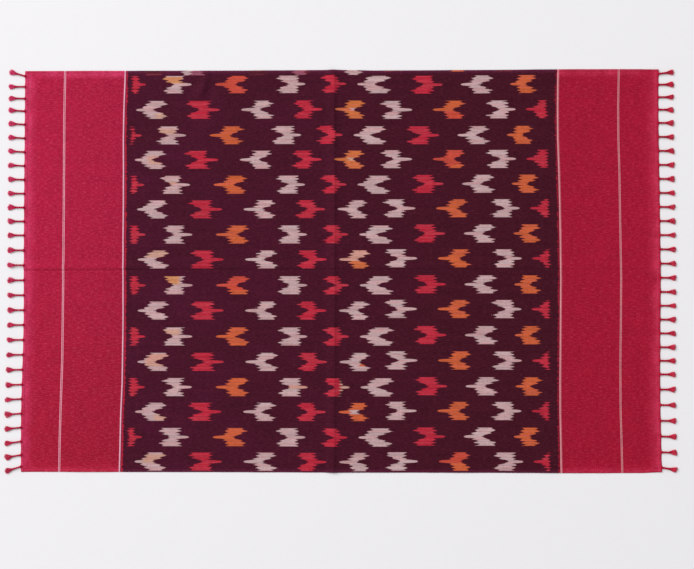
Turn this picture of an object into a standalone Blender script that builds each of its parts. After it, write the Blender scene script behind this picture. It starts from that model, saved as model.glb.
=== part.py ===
"""A handloom ikat dupatta laid out flat: one woven length in three stretches, with a tasselled edge at each end.

Run it with: blender --background --python part.py

Metres, +Z up. The cloth lies on Z = 0 with its length along X and its width along Y, centred on the origin.
It was folded in four, and its two fold lines still show: a ridge across the width and a valley along the length.
"""

import math

import bmesh
import bpy
import numpy as np
from mathutils import Matrix, Vector

# Driving sizes of the cloth
CLOTH_LENGTH = 1.770
CLOTH_WIDTH = 1.120
LEFT_PANEL_LENGTH = 0.277
RIGHT_PANEL_LENGTH = 0.279
WALL = 0.0012
SEAM_GAP = 0.0003

# The long edges are turned over once, so they are about two cloths thick
HEM_WIDTH = 0.006
HEM_STEP = 0.001
HEM_THICKNESS = 0.0022

# The turned strip along each end, which carries the tassels and stays just clear of the floor
STRIP_WIDTH = 0.006
STRIP_THICKNESS = 0.0024
FLOOR_CLEARANCE = 0.0004

# Fold lines: the ridge is left of the middle, and the valley's own line touches the floor
RIDGE_X = -0.0209
RIDGE_HEIGHT = 0.0050
RIDGE_LEFT_REACH = 0.030
RIDGE_RIGHT_REACH = 0.045
VALLEY_Y = 0.0020
VALLEY_REACH = 0.036
VALLEY_LEFT_SHOULDER = 0.0016
VALLEY_RIGHT_SHOULDER = 0.0007
# A share times the square of what is left of it is at most this, when the share is a third
SHOULDER_PEAK = 4 / 27

# The longest step between two grid lines of a wall
STEP_ALONG = 0.16
STEP_ACROSS = 0.13

# How far each crosswise line of the cloth lies from its nominal X, from the back edge to the front edge
CROSS_LINE_COLUMNS = ("share_from_back", "left_edge", "left_seam", "ridge", "right_seam", "right_edge")
CROSS_LINE_DRIFT = (
    (0.00, -0.0022, 0.0048, -0.0004, -0.0040, 0.0012),
    (0.10, -0.0022, 0.0013, -0.0001, -0.0060, 0.0000),
    (0.17, -0.0022, 0.0003, 0.0002, -0.0058, -0.0001),
    (0.25, -0.0022, 0.0012, 0.0004, -0.0032, 0.0010),
    (0.33, -0.0021, 0.0015, 0.0006, -0.0014, 0.0016),
    (0.42, -0.0018, 0.0011, 0.0007, -0.0002, 0.0023),
    (0.54, -0.0010, 0.0018, 0.0008, 0.0004, 0.0029),
    (0.62, -0.0003, 0.0026, 0.0008, -0.0010, 0.0007),
    (0.72, -0.0020, 0.0019, 0.0008, -0.0022, -0.0010),
    (0.78, -0.0038, 0.0012, 0.0005, -0.0034, -0.0017),
    (0.85, -0.0056, -0.0019, 0.0002, -0.0035, -0.0012),
    (0.92, -0.0052, -0.0034, -0.0002, -0.0023, -0.0001),
    (1.00, -0.0043, -0.0050, -0.0008, -0.0014, 0.0010),
)

# How far each lengthwise line lies from its nominal Y, from the left end to the right end
LONG_LINE_COLUMNS = ("share_from_left", "front_edge", "valley", "back_edge")
LONG_LINE_DRIFT = (
    (0.00, 0.0018, 0.0000, -0.0008),
    (0.35, 0.0010, 0.0004, 0.0006),
    (0.49, -0.0002, 0.0006, 0.0024),
    (0.55, -0.0002, 0.0004, 0.0006),
    (0.70, -0.0006, 0.0000, 0.0020),
    (0.87, -0.0018, -0.0004, 0.0044),
    (0.97, -0.0016, -0.0004, 0.0046),
    (1.00, 0.0012, 0.0000, 0.0036),
)

# Where the tassels are rooted along each end edge, and how far each leans towards the back
TASSELS = 29
ROOT_COLUMNS = ("tassel", "left_from_back", "right_from_back")
ROOT_STATIONS = (
    (0, 0.0148, 0.0120),
    (1, 0.0446, 0.0428),
    (2, 0.0781, 0.0776),
    (3, 0.1134, 0.1123),
    (4, 0.1510, 0.1493),
    (8, 0.3060, 0.3053),
    (12, 0.4617, 0.4614),
    (16, 0.6290, 0.6194),
    (20, 0.7950, 0.7734),
    (22, 0.8778, 0.8489),
    (23, 0.9179, 0.8910),
    (24, 0.9584, 0.9342),
    (26, 1.0359, 1.0212),
    (27, 1.0732, 1.0648),
    (28, 1.1052, 1.1075),
)
LEAN_COLUMNS = ("tassel", "left_degrees", "right_degrees")
LEAN_STATIONS = (
    (0, 16.0, 6.0),
    (1, 0.0, 1.0),
    (3, 3.5, -1.0),
    (6, 4.0, -1.0),
    (9, 1.0, -1.0),
    (20, 0.0, -1.0),
    (24, -3.5, -0.5),
    (27, -9.0, -2.0),
    (28, -17.0, -9.0),
)

# One tassel from its root inside the strip to its neck: a cord that swells into a knot
CORD_SIDES = 6
CORD_COLUMNS = ("out_from_edge", "radius", "axis_height")
CORD_PROFILE = (
    (-0.0030, 0.0008, 0.0016),
    (0.0015, 0.0022, 0.0026),
    (0.0110, 0.0018, 0.0025),
    (0.0190, 0.0021, 0.0028),
    (0.0245, 0.0027, 0.0031),
    (0.0270, 0.0020, 0.0030),
)

# Its cut brush: three locks that leave the neck side by side and fan out
LOCK_PARTING = 0.0003
LOCK_COLUMNS = ("out_from_edge", "fan", "half_width", "half_height", "side_height", "middle_height")
LOCK_PROFILE = (
    (0.0330, 0.0030, 0.0015, 0.0014, 0.0022, 0.0037),
    (0.0400, 0.0048, 0.0022, 0.0017, 0.0024, 0.0041),
    (0.0460, 0.0060, 0.0028, 0.0019, 0.0026, 0.0042),
)
BRUSH_END_SLANT = 0.0014
SLANT_TURN = 2.4

# Linear colour, roughness and metallic value of each sub-part
FINISHES = {
    "field": ((0.074, 0.010, 0.021), 0.85, 0.0),
    "end_panel_left": ((0.45, 0.017, 0.060), 0.75, 0.0),
    "end_panel_right": ((0.33, 0.011, 0.034), 0.75, 0.0),
    "tassels_left": ((0.42, 0.016, 0.050), 0.70, 0.0),
    "tassels_right": ((0.36, 0.012, 0.040), 0.70, 0.0),
}
SMOOTH_BELOW = math.radians(35)

CROSS_LINES = {
    "left_edge": -CLOTH_LENGTH / 2,
    "left_seam": -CLOTH_LENGTH / 2 + LEFT_PANEL_LENGTH,
    "ridge": RIDGE_X,
    "right_seam": CLOTH_LENGTH / 2 - RIGHT_PANEL_LENGTH,
    "right_edge": CLOTH_LENGTH / 2,
}
LONG_LINES = {
    "front_edge": -CLOTH_WIDTH / 2,
    "valley": VALLEY_Y,
    "back_edge": CLOTH_WIDTH / 2,
}


def column(table, columns, name):
    """One named column of a table, as an array."""
    return np.array([row[columns.index(name)] for row in table], dtype=float)


def read_table(table, columns, name, at):
    """A named column's value at each place along the table's first column, straight between its rows."""
    return np.interp(at, column(table, columns, columns[0]), column(table, columns, name))


def share_from_back(y):
    return 0.5 - y / CLOTH_WIDTH


def share_from_left(x):
    return 0.5 + x / CLOTH_LENGTH


def cross_drift(name, y):
    return read_table(CROSS_LINE_DRIFT, CROSS_LINE_COLUMNS, name, share_from_back(y))


def long_drift(name, x):
    return read_table(LONG_LINE_DRIFT, LONG_LINE_COLUMNS, name, share_from_left(x))


def drift_between(nominal, lines, drift_of, across):
    """The drift of points between named lines: it runs straight from each line to the next."""
    drift = np.array([drift_of(name, across) for name in lines])
    places = np.array(list(lines.values()))
    last = np.clip(np.searchsorted(places, nominal, side="right") - 1, 0, len(places) - 2)
    share = (nominal - places[last]) / (places[last + 1] - places[last])
    point = np.arange(len(nominal))
    return (1 - share) * drift[last, point] + share * drift[last + 1, point]


def plan(x, y):
    """Where nominal cloth points, given as flat arrays, really lie as seen from above."""
    real_x = x + drift_between(x, CROSS_LINES, cross_drift, y)
    real_y = y + drift_between(y, LONG_LINES, long_drift, x)
    return real_x, real_y


def lift(x, y):
    """How far the cloth's underside stands off the floor at nominal points.

    The ridge falls off as the square of the share that is left of its reach. Beside the valley the cloth rises
    to a shoulder at a third of the reach and comes down again.
    """
    off_ridge = x - RIDGE_X
    reach = np.where(off_ridge < 0, RIDGE_LEFT_REACH, RIDGE_RIGHT_REACH)
    ridge = RIDGE_HEIGHT * (1 - np.clip(np.abs(off_ridge) / reach, 0, 1)) ** 2
    shoulder = np.interp(share_from_left(x), (0, 1), (VALLEY_LEFT_SHOULDER, VALLEY_RIGHT_SHOULDER))
    off_valley = np.clip(np.abs(y - VALLEY_Y) / VALLEY_REACH, 0, 1)
    return ridge + shoulder / SHOULDER_PEAK * off_valley * (1 - off_valley) ** 2


def wall_thickness(y):
    """The wall is doubled along the turned long edges."""
    from_edge = CLOTH_WIDTH / 2 - np.abs(y)
    doubled = np.clip((HEM_WIDTH + HEM_STEP - from_edge) / HEM_STEP, 0, 1)
    return WALL + (HEM_THICKNESS - WALL) * doubled


def in_steps(start, end, longest):
    """Even steps from start to end, none longer than longest."""
    return np.linspace(start, end, math.ceil((end - start) / longest) + 1)


def tidy_stations(*groups):
    return np.unique(np.round(np.concatenate(groups), 6))


def stations_across():
    """Nominal Y of the grid lines: close at the hems and the valley, and at each row of the drift table."""
    half = CLOTH_WIDTH / 2
    inner = half - HEM_WIDTH - HEM_STEP
    hem = np.array((half, half - HEM_WIDTH, inner))
    valley = VALLEY_Y + VALLEY_REACH * np.array((-1, -0.65, -0.33, -0.12, 0, 0.12, 0.33, 0.65, 1))
    table_rows = half - CLOTH_WIDTH * column(CROSS_LINE_DRIFT, CROSS_LINE_COLUMNS, "share_from_back")
    front = in_steps(-inner, valley[0], STEP_ACROSS)
    back = in_steps(valley[-1], inner, STEP_ACROSS)
    return tidy_stations(-hem, front, valley, back, hem, table_rows)


def stations_along(start, end):
    """Nominal X of the grid lines from start to end, close at the ridge if it lies between them."""
    if not start < RIDGE_X < end:
        return in_steps(start, end, STEP_ALONG)
    left = RIDGE_X - RIDGE_LEFT_REACH * np.array((1, 0.6, 0.3, 0.1))
    right = RIDGE_X + RIDGE_RIGHT_REACH * np.array((0, 0.07, 0.2, 0.4, 0.68, 1))
    before = in_steps(start, left[0], STEP_ALONG)
    after = in_steps(right[-1], end, STEP_ALONG)
    return tidy_stations(before, left, right, after)


def closed_grid(bottom, top):
    """Points and outward faces of the solid between two grids of points, each (along X, along Y, 3)."""
    rows, columns = bottom.shape[:2]
    count = rows * columns
    index = np.arange(count).reshape(rows, columns)
    quads = np.stack([index[:-1, :-1], index[1:, :-1], index[1:, 1:], index[:-1, 1:]], axis=-1).reshape(-1, 4)
    rim = np.concatenate([index[:-1, 0], index[-1, :-1], index[:0:-1, -1], index[0, :0:-1]])
    following = np.roll(rim, -1)
    sides = np.stack([rim, following, following + count, rim + count], axis=-1)
    faces = np.concatenate([quads[:, ::-1], quads + count, sides])
    return np.concatenate([bottom.reshape(-1, 3), top.reshape(-1, 3)]), faces


def cloth_grid(along, across, clearance, thickness):
    """A closed wall over a grid of nominal places, with its underside on the cloth's own lifted form."""
    x, y = (grid.ravel() for grid in np.meshgrid(along, across, indexing="ij"))
    real_x, real_y = plan(x, y)
    low = lift(x, y) + clearance
    high = low + thickness(y)
    shape = (len(along), len(across), 3)
    bottom = np.stack([real_x, real_y, low], axis=-1).reshape(shape)
    top = np.stack([real_x, real_y, high], axis=-1).reshape(shape)
    return closed_grid(bottom, top)


def mesh_of(name, points, faces):
    mesh = bpy.data.meshes.new(name)
    mesh.from_pydata(points.tolist(), [], faces.tolist())
    return mesh


def place(name, mesh, origin, parent):
    """Holds the mesh about its own origin on the cloth, under the parent, with the sub-part's finish."""
    mesh.transform(Matrix.Translation(-Vector(origin)))
    mesh.shade_smooth()
    mesh.set_sharp_from_angle(angle=SMOOTH_BELOW)
    mesh.materials.append(finish(name))
    placed = bpy.data.objects.new(name, mesh)
    placed.location = origin
    placed.parent = parent
    bpy.context.scene.collection.objects.link(placed)
    return placed


def finish(name):
    colour, roughness, metallic = FINISHES[name]
    material = bpy.data.materials.new(name)
    material.use_nodes = True
    shader = material.node_tree.nodes["Principled BSDF"]
    shader.inputs["Base Color"].default_value = (*colour, 1.0)
    shader.inputs["Roughness"].default_value = roughness
    shader.inputs["Metallic"].default_value = metallic
    return material


def add_stretch(name, start, end, parent):
    """One woven stretch of the cloth, from one nominal X to another."""
    points, faces = cloth_grid(stations_along(start, end), stations_across(), 0.0, wall_thickness)
    return place(name, mesh_of(name, points, faces), ((start + end) / 2, 0.0, 0.0), parent)


def add_ring(mesh, centre, across, radius):
    """A ring of points round a tassel's axis. Its first point is 30 degrees above level."""
    ring = []
    for side in range(CORD_SIDES):
        turn = math.tau * (side + 0.5) / CORD_SIDES
        offset = across * (radius * math.cos(turn)) + Vector((0, 0, radius * math.sin(turn)))
        ring.append(mesh.verts.new(centre + offset))
    return ring


def join_rings(mesh, near, far):
    for side in range(CORD_SIDES):
        following = (side + 1) % CORD_SIDES
        mesh.faces.new((near[side], near[following], far[following], far[side]))


def add_lock(mesh, face, fan_side, at, across, slant):
    """Draws one lock out of a face of the neck. at() gives a place from out, sideways and up."""
    bmesh.ops.inset_individual(mesh, faces=[face], thickness=LOCK_PARTING)
    centre = face.calc_center_median()
    offsets = [vert.co - centre for vert in face.verts]
    sideways = [offset.dot(across) for offset in offsets]
    upward = [offset.z for offset in offsets]
    widest = max(abs(value) for value in sideways)
    highest = max(abs(value) for value in upward)
    for row in LOCK_PROFILE:
        station = dict(zip(LOCK_COLUMNS, row))
        height = station["side_height"] if fan_side else station["middle_height"]
        face = bmesh.ops.extrude_discrete_faces(mesh, faces=[face])["faces"][0]
        for vert, side, up in zip(face.verts, sideways, upward):
            shift = fan_side * station["fan"] + station["half_width"] * side / widest
            out = station["out_from_edge"] + slant * shift / station["fan"]
            vert.co = at(out, shift, height + station["half_height"] * up / highest)


def add_tassel(mesh, root, outward, across, base, slant):
    """A cord, its knot and three locks, as one closed shell that starts inside the end strip."""

    def at(out, sideways, up):
        return root + outward * out + across * sideways + Vector((0, 0, base + up))

    rings = []
    for row in CORD_PROFILE:
        station = dict(zip(CORD_COLUMNS, row))
        centre = at(station["out_from_edge"], 0.0, station["axis_height"])
        rings.append(add_ring(mesh, centre, across, station["radius"]))
    for near, far in zip(rings, rings[1:]):
        join_rings(mesh, near, far)
    mesh.faces.new(rings[0])
    neck = rings[-1]
    middle = mesh.verts.new(at(CORD_PROFILE[-1][0], 0.0, CORD_PROFILE[-1][2]))
    for first, fan_side in ((0, 0), (2, -1), (4, 1)):
        corners = (middle, neck[first], neck[first + 1], neck[(first + 2) % CORD_SIDES])
        add_lock(mesh, mesh.faces.new(corners), fan_side, at, across, slant)


def tassel_places(side, end_x):
    """Nominal root Y and lean in radians of each tassel along one end."""
    numbers = np.arange(TASSELS)
    from_back = read_table(ROOT_STATIONS, ROOT_COLUMNS, f"{side}_from_back", numbers)
    lean = np.radians(read_table(LEAN_STATIONS, LEAN_COLUMNS, f"{side}_degrees", numbers))
    y = CLOTH_WIDTH / 2 - from_back
    x = np.full(TASSELS, end_x)
    return x, y, lean


def add_tasselled_edge(name, side, parent):
    """The turned strip past the end panel's wall, with its tassels joined to it by their roots."""
    outward_sign = -1 if side == "left" else 1
    end_x = outward_sign * CLOTH_LENGTH / 2
    inner_x = end_x - outward_sign * STRIP_WIDTH
    x, y, lean = tassel_places(side, end_x)
    between = (y[1:] + y[:-1]) / 2
    along = np.array(sorted((end_x, inner_x)))
    across_stations = tidy_stations(stations_across(), between)
    points, faces = cloth_grid(along, across_stations, FLOOR_CLEARANCE, lambda _: STRIP_THICKNESS)
    origin = (end_x, 0.0, 0.0)
    strip = place(name, mesh_of(name, points, faces), origin, parent)

    real_x, real_y = plan(x, y)
    base = lift(x, y)
    shell = bmesh.new()
    for number in range(TASSELS):
        outward = Vector((outward_sign * math.cos(lean[number]), math.sin(lean[number]), 0))
        across = outward.cross(Vector((0, 0, 1)))
        slant = BRUSH_END_SLANT * math.sin(SLANT_TURN * number)
        root = Vector((real_x[number], real_y[number], 0))
        add_tassel(shell, root, outward, across, base[number], slant)
    bmesh.ops.recalc_face_normals(shell, faces=shell.faces)
    tassel_mesh = bpy.data.meshes.new(f"{name}_roots")
    shell.to_mesh(tassel_mesh)
    shell.free()
    tassels = place(name, tassel_mesh, origin, parent)
    tassels.name = f"{name}_roots"
    tassels.hide_render = True
    tassels.display_type = "WIRE"
    union = strip.modifiers.new("Roots joined to the strip", "BOOLEAN")
    union.operation = "UNION"
    union.solver = "EXACT"
    union.object = tassels
    return strip


def clear_scene():
    for existing in list(bpy.data.objects):
        bpy.data.objects.remove(existing, do_unlink=True)


def build():
    clear_scene()
    cloth = bpy.data.objects.new("dupatta", None)
    bpy.context.scene.collection.objects.link(cloth)
    half_gap = SEAM_GAP / 2
    strip_and_gap = STRIP_WIDTH + SEAM_GAP
    left_seam, right_seam = CROSS_LINES["left_seam"], CROSS_LINES["right_seam"]
    add_stretch("field", left_seam + half_gap, right_seam - half_gap, cloth)
    add_stretch("end_panel_left", CROSS_LINES["left_edge"] + strip_and_gap, left_seam - half_gap, cloth)
    add_stretch("end_panel_right", right_seam + half_gap, CROSS_LINES["right_edge"] - strip_and_gap, cloth)
    add_tasselled_edge("tassels_left", "left", cloth)
    add_tasselled_edge("tassels_right", "right", cloth)


build()
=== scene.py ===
"""The looks of a handloom ikat dupatta laid out flat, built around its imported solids.

Metres, +Z up. The cloth lies on Z = 0 with its length along X and its width along Y. Nominal places are
those of a perfectly straight cloth. The drift tables say how far the real threads wander from them.
"""

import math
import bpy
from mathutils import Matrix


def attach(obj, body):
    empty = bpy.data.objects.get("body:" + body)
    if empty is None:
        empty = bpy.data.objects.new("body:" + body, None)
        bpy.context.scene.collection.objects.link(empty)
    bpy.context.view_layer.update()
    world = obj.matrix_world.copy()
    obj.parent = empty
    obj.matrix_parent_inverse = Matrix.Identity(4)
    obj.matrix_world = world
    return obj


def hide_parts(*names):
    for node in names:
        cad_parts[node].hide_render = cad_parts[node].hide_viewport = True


bl_info = {
    "name": "Ikat Dupatta",
    "version": (1, 0, 0),
    "blender": (4, 5, 0),
    "location": "3D View > Sidebar > Dupatta",
    "description": "Weaves, hems and tassels a handloom ikat dupatta on its packed solids",
    "category": "Add Mesh",
}

import bpy
import numpy as np
from mathutils import Vector

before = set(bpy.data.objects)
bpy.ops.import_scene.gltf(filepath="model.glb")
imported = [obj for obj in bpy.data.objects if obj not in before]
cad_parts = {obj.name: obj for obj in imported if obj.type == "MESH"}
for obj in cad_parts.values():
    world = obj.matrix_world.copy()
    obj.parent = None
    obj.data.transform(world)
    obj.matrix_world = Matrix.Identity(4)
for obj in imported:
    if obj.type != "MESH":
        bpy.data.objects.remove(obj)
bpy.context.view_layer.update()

# The cloth, as its solids have it
CLOTH_LENGTH = 1.770
CLOTH_WIDTH = 1.120
LEFT_PANEL_LENGTH = 0.277
RIGHT_PANEL_LENGTH = 0.279

# Its two fold lines: a ridge across the width and a valley along the length
RIDGE_X = -0.0209
RIDGE_HEIGHT = 0.0050
RIDGE_LEFT_REACH = 0.030
RIDGE_RIGHT_REACH = 0.045
VALLEY_Y = 0.0020
VALLEY_REACH = 0.036
VALLEY_LEFT_SHOULDER = 0.0080
VALLEY_RIGHT_SHOULDER = 0.0014
VALLEY_BACK_BEND = 0.0072
VALLEY_FRONT_BEND = 0.0018
VALLEY_FRONT_SHARE = 0.22
VALLEY_LEFT_DROP = 0.0026
VALLEY_DROP_END = 0.3

# Crosswise lines of the cloth, and how far each lies from its nominal X, from the back to the front edge
CROSS_LINES = {
    "left_edge": -CLOTH_LENGTH / 2,
    "left_stripe": -0.7731,
    "left_seam": -CLOTH_LENGTH / 2 + LEFT_PANEL_LENGTH,
    "ridge": RIDGE_X,
    "right_seam": CLOTH_LENGTH / 2 - RIGHT_PANEL_LENGTH,
    "right_stripe": 0.7737,
    "right_edge": CLOTH_LENGTH / 2,
}
CROSS_LINE_COLUMNS = ("share_from_back", *CROSS_LINES)
CROSS_LINE_DRIFT = (
    (0.00, -0.0022, -0.0024, 0.0048, -0.0004, -0.0040, 0.0014, 0.0012),
    (0.10, -0.0022, -0.0038, 0.0013, -0.0001, -0.0060, -0.0012, 0.0000),
    (0.17, -0.0022, -0.0037, 0.0003, 0.0002, -0.0058, -0.0011, -0.0001),
    (0.25, -0.0022, -0.0035, 0.0012, 0.0004, -0.0032, 0.0009, 0.0010),
    (0.33, -0.0021, -0.0034, 0.0015, 0.0006, -0.0014, 0.0018, 0.0016),
    (0.42, -0.0018, -0.0034, 0.0011, 0.0007, -0.0002, 0.0026, 0.0023),
    (0.52, -0.0010, -0.0035, 0.0018, 0.0008, 0.0004, 0.0038, 0.0029),
    (0.62, -0.0003, -0.0038, 0.0026, 0.0008, -0.0010, 0.0022, 0.0007),
    (0.72, -0.0020, -0.0043, 0.0019, 0.0008, -0.0022, -0.0001, -0.0010),
    (0.78, -0.0038, -0.0060, 0.0012, 0.0005, -0.0034, -0.0004, -0.0017),
    (0.85, -0.0056, -0.0081, -0.0019, 0.0002, -0.0035, -0.0005, -0.0012),
    (0.92, -0.0052, -0.0097, -0.0034, -0.0002, -0.0023, 0.0014, -0.0001),
    (1.00, -0.0043, -0.0105, -0.0050, -0.0008, -0.0014, 0.0030, 0.0010),
)

# Lengthwise lines of the cloth, and how far each lies from its nominal Y, from the left to the right end
LONG_LINES = {
    "front_edge": -CLOTH_WIDTH / 2,
    "valley": VALLEY_Y,
    "back_edge": CLOTH_WIDTH / 2,
}
LONG_LINE_COLUMNS = ("share_from_left", *LONG_LINES)
LONG_LINE_DRIFT = (
    (0.00, 0.0018, 0.0000, -0.0008),
    (0.35, 0.0010, 0.0004, 0.0006),
    (0.49, -0.0002, 0.0006, 0.0024),
    (0.55, -0.0002, 0.0004, 0.0006),
    (0.70, -0.0006, 0.0000, 0.0020),
    (0.87, -0.0018, -0.0004, 0.0044),
    (0.97, -0.0016, -0.0004, 0.0046),
    (1.00, 0.0012, 0.0000, 0.0036),
)

# Which way is outwards at each end
SIGN = {"left": -1, "right": 1}

# Where the tassels are rooted along each end edge, and how far each leans towards the back
TASSELS = 29
ROOT_COLUMNS = ("tassel", "left_from_back", "right_from_back")
ROOT_STATIONS = (
    (0, 0.0148, 0.0120),
    (1, 0.0446, 0.0428),
    (2, 0.0781, 0.0776),
    (3, 0.1134, 0.1123),
    (4, 0.1510, 0.1493),
    (8, 0.3060, 0.3053),
    (12, 0.4617, 0.4614),
    (16, 0.6290, 0.6194),
    (20, 0.7950, 0.7734),
    (22, 0.8778, 0.8489),
    (23, 0.9179, 0.8910),
    (24, 0.9584, 0.9342),
    (26, 1.0359, 1.0212),
    (27, 1.0732, 1.0648),
    (28, 1.1052, 1.1075),
)
LEAN_COLUMNS = ("tassel", "left_degrees", "right_degrees")
LEAN_STATIONS = (
    (0, 16.0, 6.0),
    (1, 0.0, 1.0),
    (3, 3.5, -1.0),
    (6, 4.0, -1.0),
    (9, 1.0, -1.0),
    (20, 0.0, -1.0),
    (24, -3.5, -0.5),
    (27, -9.0, -2.0),
    (28, -17.0, -9.0),
)

# How the tassels pull the end edges out between them
CUSP_HALF_WIDTH = 0.0045
CUSP_LEVEL = 0.05
CUSP_REACH = 0.006

# The turned hems' inner step, the dent of their stitches, and the free edge's least share of the layers
HEM_STEP_BEYOND = 0.0006
HEM_STEP_WIDTH = 0.0011
STITCHES_FROM_STEP = 0.0011
STITCH_DENT_WIDTH = 0.0005
STITCH_DENT = 0.25
LEAST_EDGE = 0.1

# Running stitches
STITCH_PITCH = 0.0043
STITCH_HALF_LENGTH = 0.00135
STITCH_STATIONS = 5
STITCH_SIDES = 4
STITCH_RADIUS = 0.00022
STITCH_DIP = 0.00042
STITCH_DIP_POWER = 2.5

# Grid steps of a woven stretch, the closer steps beside a free edge, and those beside the folds as
# shares of a reach
STEP_ALONG = 0.0055
STEP_ACROSS = 0.0075
EDGE_STEPS = (0.0, 0.00012, 0.0003, 0.0006, 0.001, 0.0022, 0.0036)
HEM_STEPS = (-0.0018, -0.0011, -0.0005, 0.0, 0.0006, 0.0015, 0.004, 0.009)
ROOT_STEPS = (-0.008, -0.004, -0.0018, 0.0, 0.0018, 0.004, 0.008)
VALLEY_STEPS = (-0.2, -0.1, -0.04, -0.02, 0.0, 0.03, 0.07, 0.12, 0.2, 0.3, 0.42)
RIDGE_LEFT_STEPS = (0.02, 0.05, 0.1, 0.2, 0.3)
RIDGE_RIGHT_STEPS = (0.0, 0.02, 0.05, 0.09, 0.14, 0.2, 0.27)
LEAST_STEP = 0.0001

# Soft creases, each a low ridge: its middle, its direction from +X, its sizes and how far it bends
CREASE_COLUMNS = ("x", "y", "degrees", "length", "width", "height", "bend")
CREASES = (
    (-0.389, 0.514, 70, 0.110, 0.011, 0.0064, 0.004),
    (-0.412, 0.498, 60, 0.060, 0.012, 0.0014, -0.004),
    (-0.694, 0.522, 86, 0.036, 0.006, 0.0008, 0.002),
    (-0.672, 0.445, 90, 0.040, 0.0024, 0.0004, 0.001),
    (-0.664, 0.447, 91, 0.030, 0.0022, 0.0003, 0.001),
    (-0.800, 0.250, 4, 0.160, 0.020, 0.0005, 0.012),
    (-0.740, -0.180, 8, 0.220, 0.020, 0.0005, -0.014),
    (-0.700, -0.360, -12, 0.180, 0.016, 0.0004, 0.010),
    (-0.820, -0.440, 62, 0.110, 0.013, 0.0006, 0.012),
    (-0.300, 0.100, 6, 0.300, 0.022, 0.0005, 0.020),
    (-0.450, -0.400, 12, 0.260, 0.020, 0.0005, -0.015),
    (-0.520, -0.520, 84, 0.060, 0.010, 0.0008, 0.006),
    (-0.180, -0.300, 4, 0.200, 0.018, 0.0004, 0.010),
    (-0.120, -0.505, 102, 0.090, 0.012, 0.0009, -0.008),
    (0.100, 0.500, 74, 0.090, 0.012, 0.0009, 0.008),
    (0.200, -0.300, -8, 0.340, 0.024, 0.0006, 0.018),
    (0.350, 0.360, -5, 0.300, 0.020, 0.0005, -0.014),
    (0.480, 0.505, 68, 0.070, 0.010, 0.0009, 0.006),
    (0.488, -0.214, 36, 0.120, 0.012, 0.0006, 0.010),
    (0.485, -0.350, 40, 0.090, 0.012, 0.0005, 0.008),
    (0.300, -0.500, 96, 0.080, 0.011, 0.0008, 0.006),
    (0.700, 0.300, -6, 0.200, 0.020, 0.0005, 0.014),
    (0.760, -0.250, 10, 0.200, 0.018, 0.0004, -0.010),
    (0.820, 0.460, 118, 0.100, 0.013, 0.0006, -0.010),
    (0.660, -0.500, 80, 0.070, 0.010, 0.0007, 0.006),
)

# Long waves that the whole cloth keeps, and the waves of its free edges
WAVES = 14
WAVE_LENGTHS = (0.045, 0.190)
WAVE_HEIGHT = 0.00007
WAVE_LIFT = 2.5
WAVE_SEED = 4
EDGE_WAVES = 7
EDGE_WAVE_LENGTHS = (0.09, 0.5)
EDGE_WAVE_HEIGHT = 0.00025
EDGE_WAVE_REACH = 0.014
END_WAVE_SHIFT = 3

# Ikat rows: middle line from the back edge, how far the tied threads slid along X at the left and right,
# and how far the row lies nearer to the front on either side of the ridge
ROW_COLUMNS = ("from_back", "slide_left", "slide_right", "drop_left", "drop_right")
ROWS = (
    (-0.0120, -0.031, 0.008, 0.0000, -0.0085),
    (0.0396, -0.001, -0.003, -0.0008, 0.0008),
    (0.1103, -0.007, -0.007, 0.0000, 0.0006),
    (0.1814, -0.014, -0.012, 0.0006, 0.0010),
    (0.2493, -0.011, -0.008, 0.0014, 0.0000),
    (0.3193, -0.003, -0.002, 0.0014, -0.0008),
    (0.3873, 0.000, -0.001, 0.0022, -0.0006),
    (0.4575, 0.004, 0.001, 0.0025, -0.0006),
    (0.5268, 0.005, 0.003, 0.0028, -0.0006),
    (0.5990, 0.005, 0.002, 0.0025, -0.0006),
    (0.6695, 0.005, 0.002, 0.0025, -0.0024),
    (0.7419, 0.004, 0.004, 0.0022, -0.0024),
    (0.8121, 0.006, 0.004, 0.0025, -0.0022),
    (0.8834, 0.005, 0.007, 0.0014, -0.0022),
    (0.9517, 0.002, 0.003, 0.0014, -0.0022),
    (1.0227, 0.000, 0.001, 0.0006, -0.0024),
    (1.0904, 0.005, 0.006, 0.0006, -0.0014),
)
SLIDE_PLACES = (-0.60, -0.42, 0.40)
SEAM_SLIDE_SHARE = 0.5
DROP_PLACES = (0.05, 0.20)

# Motifs of the two kinds of row, from left to right: which way each points, where its tip is, its dye,
# and how far behind the tip its dye starts beside the spike and at its corner, and stops in its notch
# and at its arms
MOTIF_COLUMNS = ("points", "tip", "dye", "shoulder", "corner", "notch", "arm")
ODD_ROW = (
    ("right", -0.552, "red", 0.020, 0.024, 0.056, 0.086),
    ("right", -0.423, "cream", 0.032, 0.025, 0.051, 0.075),
    ("left", -0.356, "orange", 0.033, 0.041, 0.055, 0.087),
    ("right", -0.102, "cream", 0.023, 0.022, 0.046, 0.075),
    ("right", 0.014, "red", 0.022, 0.029, 0.038, 0.066),
    ("left", 0.046, "cream", 0.021, 0.036, 0.045, 0.087),
    ("right", 0.286, "red", 0.029, 0.032, 0.050, 0.083),
    ("left", 0.339, "cream", 0.029, 0.038, 0.050, 0.084),
    ("left", 0.478, "orange", 0.020, 0.026, 0.041, 0.068),
)
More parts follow.
